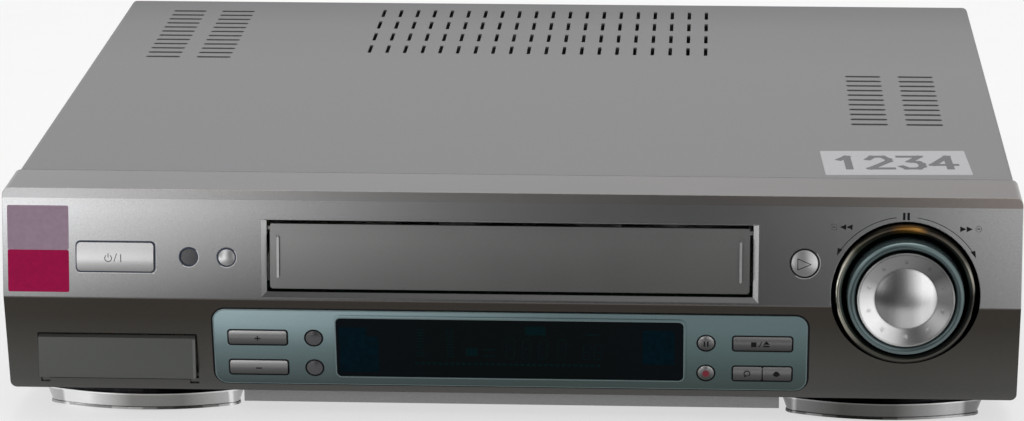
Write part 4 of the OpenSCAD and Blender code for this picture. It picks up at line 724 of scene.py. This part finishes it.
behind_glass("blue_field_left", [[(-67.4, -32.0), (-51.9, -32.0), (-51.9, -15.9), (-56.4, -15.9), (-56.4, -11.9),
                                  (-67.4, -11.9)]], "deep_blue")
behind_glass("blue_field_right", [rect(58.75, -19.35, 12.7, 15.3)], "deep_blue")


def seven_segments(x0, s0, w, h):
    """Outlines of the unlit bars of one digit, leaning a little."""
    lean = 0.08 * h

    def at(u, v):
        return (x0 + u * w + v * lean, s0 + v * h)
    bars = [[(0.15, 0), (0.85, 0)], [(0.15, 0.5), (0.85, 0.5)], [(0.15, 1), (0.85, 1)], [(0, 0.08), (0, 0.44)],
            [(0, 0.56), (0, 0.92)], [(1, 0.08), (1, 0.44)], [(1, 0.56), (1, 0.92)]]
    return [q for a, b in bars for q in line([at(*a), at(*b)], 0.28)]


for i, x0 in enumerate((-1.5, 4.8, 11.4, 18.6)):
    behind_glass("unlit_digit_%d" % (i + 1), seven_segments(x0, -25.0, 3.2, 8.8), "ghost")
for i, x0 in enumerate((28.9, 33.4)):
    behind_glass("unlit_small_digit_%d" % (i + 1), seven_segments(x0, -24.9, 2.7, 6.5), "ghost")
for tag, x0 in (("left", -36.7), ("right", -25.0)):
    behind_glass("unlit_meter_" + tag, [rect(x0 + 1.5, -12.6 - 1.3 * i, 2.9, 0.4) for i in range(10)], "ghost")
behind_glass("unlit_base_row", [rect(-36.8 + 2.32 * i, -27.75, 1.5, 1.0) for i in range(32)], "ghost")
behind_glass("unlit_words_block", [round_rect(10.3, -12.5, 8.1, 3.8, 0.6)], "ghost")
behind_glass("unlit_small_marks", [rect(-15.0, -22.3, 4.6, 3.4), rect(-8.0, -21.2, 5.0, 0.5),
                                   rect(-8.0, -24.0, 5.0, 0.5), rect(33.0, -13.8, 6.0, 0.6)], "ghost")

# generic icons on the panel keys
high, low = bulge(ROW_HIGH, KEY_H, KEY_PROUD), bulge(ROW_LOW, KEY_H, KEY_PROUD)
face_body("stop_icon", [rect(96.2, -16.9, 2.1, 2.1)] + line([(98.3, -17.9), (99.3, -15.7)], 0.28)
          + [[(100.0, -16.7), (102.4, -16.7), (101.2, -15.3)], rect(101.2, -17.6, 2.4, 0.55)], "lower", "ink",
          "stop_eject", high, 0.14, 0.15)
face_body("insert_icon", arc(93.7, -30.0, 1.15, 0.35, -60, 200, 16) + [triangle(93.2, -31.0, 1.1, 1.2)], "lower",
          "ink", "insert", low, 0.14, 0.15)
face_body("dub_icon", [disc(105.3, -30.1, 1.15, 16), rect(105.3, -30.3, 2.9, 0.5)], "lower", "ink", "dub",
          low, 0.14, 0.15)
face_body("record_icon", [disc(PAUSE_X, ROW_LOW + 0.2, 1.35)], "lower", "red_ink", "record",
          dome(PAUSE_X, ROW_LOW, KEY_R, KEY_PROUD), 0.3, 0.2)
face_body("pause_icon", [rect(PAUSE_X - 0.65, ROW_HIGH, 0.65, 2.2), rect(PAUSE_X + 0.65, ROW_HIGH, 0.65, 2.2)],
          "lower", "ink", "pause", dome(PAUSE_X, ROW_HIGH, KEY_R, KEY_PROUD), 0.16, 0.2)
face_body("channel_up_icon", [rect(-STOP_X, ROW_HIGH, 2.3, 0.4), rect(-STOP_X, ROW_HIGH, 0.4, 2.0)], "lower",
          "ink", "channel_up", high, 0.14, 0.15)
face_body("channel_down_icon", [rect(-STOP_X, ROW_LOW, 2.3, 0.4)], "lower", "ink", "channel_down",
          low, 0.14, 0.15)
# painted shade in the gaps round the panel's keys, as dark bands
for tag, x, s in (("stop_eject", STOP_X, ROW_HIGH), ("insert_dub", STOP_X, ROW_LOW),
                  ("channel_up", -STOP_X, ROW_HIGH), ("channel_down", -STOP_X, ROW_LOW)):
    face_body(tag + "_key_outline", band(round_rect(x, s, LONG_KEY + 1.3, 7.3, 1.4),
                                         round_rect(x, s, LONG_KEY + 0.5, 6.5, 1.1)),
              "lower", "ink", "cabinet", PANEL_PROUD)
for tag, x, s in (("pause", PAUSE_X, ROW_HIGH), ("record", PAUSE_X, ROW_LOW),
                  ("upper_function", -PAUSE_X, ROW_HIGH), ("lower_function", -PAUSE_X, ROW_LOW)):
    face_body(tag + "_key_outline", band(disc(x, s, 3.85), disc(x, s, 3.45)), "lower", "ink", "cabinet",
              PANEL_PROUD)

# painted highlight along the flap's right edge
FLAP_X, FLAP_LOW, FLAP_FACE = -155.8, 17.2, CREASE_Y + 1.75


def on_flap(x, z, t):
    return Vector((x, FLAP_FACE + t, z)) * MM


tablet("flap_edge", [rect(FLAP_X + 30.7, FLAP_LOW + 8.2, 1.0, 16.0)], on_flap, PRINT["flap_light"].mat, "flap",
       0.03, 0.05)


# coloured collars and plated sleeves of the phono sockets in front and at the back
def jack(name, x, y, z, out, ink, flange, barrel):
    """out is -1 for a socket that faces the front and 1 for one that faces the back."""
    def at(depth):
        return lambda u, v, t: Vector((x + u, y + out * (depth - t), z + v)) * MM
    tablet(name + "_collar", band(disc(0, 0, 5.3), disc(0, 0, 4.2)), at(flange), PRINT[ink].mat, "cabinet",
           0.1, 0.05)
    tablet(name + "_sleeve", band(disc(0, 0, 4.1), disc(0, 0, 3.0)), at(barrel), PRINT["plating"].mat, "cabinet",
           0.012, 0.05)


for tag, x, ink in (("video", -132.8, "yellow"), ("left_sound", -146.8, "white"), ("right_sound", -160.8, "red")):
    jack("front_" + tag, x, CREASE_Y + 17.5, 26.0, -1, ink, 1.2, 7.5)
for tag, x, z, ink in (("upper_white", -82.0, 42.0, "white"), ("lower_red", -82.0, 26.0, "red"),
                       ("upper_yellow", -66.0, 42.0, "yellow"), ("lower_black", -66.0, 26.0, "ink")):
    jack("rear_" + tag, x, 170.3, z, 1, ink, 2.0, 7.0)

# ---------------------------------------------------------------- floor, world and lamps
FLOOR_HALF = 3.0


def background_rays(tree, path):
    """1 for rays that show the background: from the camera, through glass, or off metal."""
    total = path.outputs["Is Camera Ray"]
    for name in ("Is Glossy Ray", "Is Transmission Ray"):
        n = tree.nodes.new("ShaderNodeMath")
        n.operation = "MAXIMUM"
        tree.links.new(total, n.inputs[0])
        tree.links.new(path.outputs[name], n.inputs[1])
        total = n.outputs[0]
    return total


def make_floor():
    g = Graph("floor_paper", 0.8, 0.0, (0.32, 0.32, 0.32))
    g.color(g.ramp(g.noise(30.0, 3.0), greys([(0.3, 0.315), (0.7, 0.325)])))
    seen = background_rays(g.tree, g.tree.nodes.new("ShaderNodeLightPath"))
    g.set("Emission Color", (1.0, 1.0, 1.0, 1.0))
    g.link(g.math("MULTIPLY", seen, 0.62), g.bsdf.inputs["Emission Strength"])
    bm = bmesh.new()
    bmesh.ops.create_grid(bm, x_segments=8, y_segments=8, size=FLOOR_HALF)
    new_object("floor", bm, g.mat)


def make_world(level):
    world = bpy.data.worlds.new("studio")
    bpy.context.scene.world = world
    world.use_nodes = True
    tree = world.node_tree
    back = tree.nodes["Background"]
    back.inputs["Color"].default_value = (1.0, 1.0, 1.0, 1.0)
    path = tree.nodes.new("ShaderNodeLightPath")
    seen = background_rays(tree, path)
    strength = tree.nodes.new("ShaderNodeMapRange")
    tree.links.new(seen, strength.inputs["Value"])
    strength.inputs["To Min"].default_value = level
    strength.inputs["To Max"].default_value = 1.0
    tree.links.new(strength.outputs[0], back.inputs["Strength"])


def lamp(name, at, look, size, power):
    data = bpy.data.lights.new(name, "AREA")
    data.shape = "RECTANGLE"
    data.size, data.size_y = size
    data.energy = power
    obj = bpy.data.objects.new(name, data)
    turn = (Vector(look) - Vector(at)).to_track_quat("-Z", "Y").to_matrix()
    obj.matrix_world = Matrix.Translation(at) @ turn.to_4x4()
    bpy.context.scene.collection.objects.link(obj)


def make_card(name, x0, x1, y0, y1, height, stops):
    """A graded studio card before the machine, bent up from the floor, that only its metal mirrors."""
    g = Graph(name, 0.8, 0.0, (0.02, 0.02, 0.02))
    tone = g.ramp(g.remap(g.axis("X"), x0, x1, 0.0, 1.0), greys([((x - x0) / (x1 - x0), v) for x, v in stops]))
    g.link(tone, g.bsdf.inputs["Emission Color"])
    g.set("Emission Strength", 1.0)
    bm = bmesh.new()
    profile = ((y0, 0.001), (y1, 0.001), (y1, height))
    left, right = [[bm.verts.new((x, y, z)) for y, z in profile] for x in (x0, x1)]
    for i in (0, 1):
        bm.faces.new((left[i], right[i], right[i + 1], left[i + 1]))
    card = new_object(name, bm, g.mat)
    card.visible_camera = card.visible_diffuse = card.visible_shadow = False


make_floor()
make_world(0.45)
make_card("front_card", -0.9, 0.9, -0.27, -0.85, 0.65, [
    (-0.5, 0.4), (-0.4, 0.9), (-0.355, 3.0), (-0.3155, 2.2), (-0.2346, 1.25), (-0.1913, 0.75), (-0.1596, 0.5),
    (-0.1018, 0.22), (-0.044, 0.11), (0.0136, 0.06), (0.0714, 0.06), (0.1465, 0.1), (0.1754, 0.14), (0.24, 0.62),
    (0.3, 1.1), (0.6, 1.3)])
lamp("top_lamp", (0.1, 0.3, 1.6), (0.0, 0.0, 0.05), (1.6, 1.2), 12.0)
lamp("left_lamp", (-0.9, -0.5, 0.7), (-0.1, -0.17, 0.06), (0.6, 0.45), 1.2)
bpy.context.scene.view_settings.view_transform = "Standard"
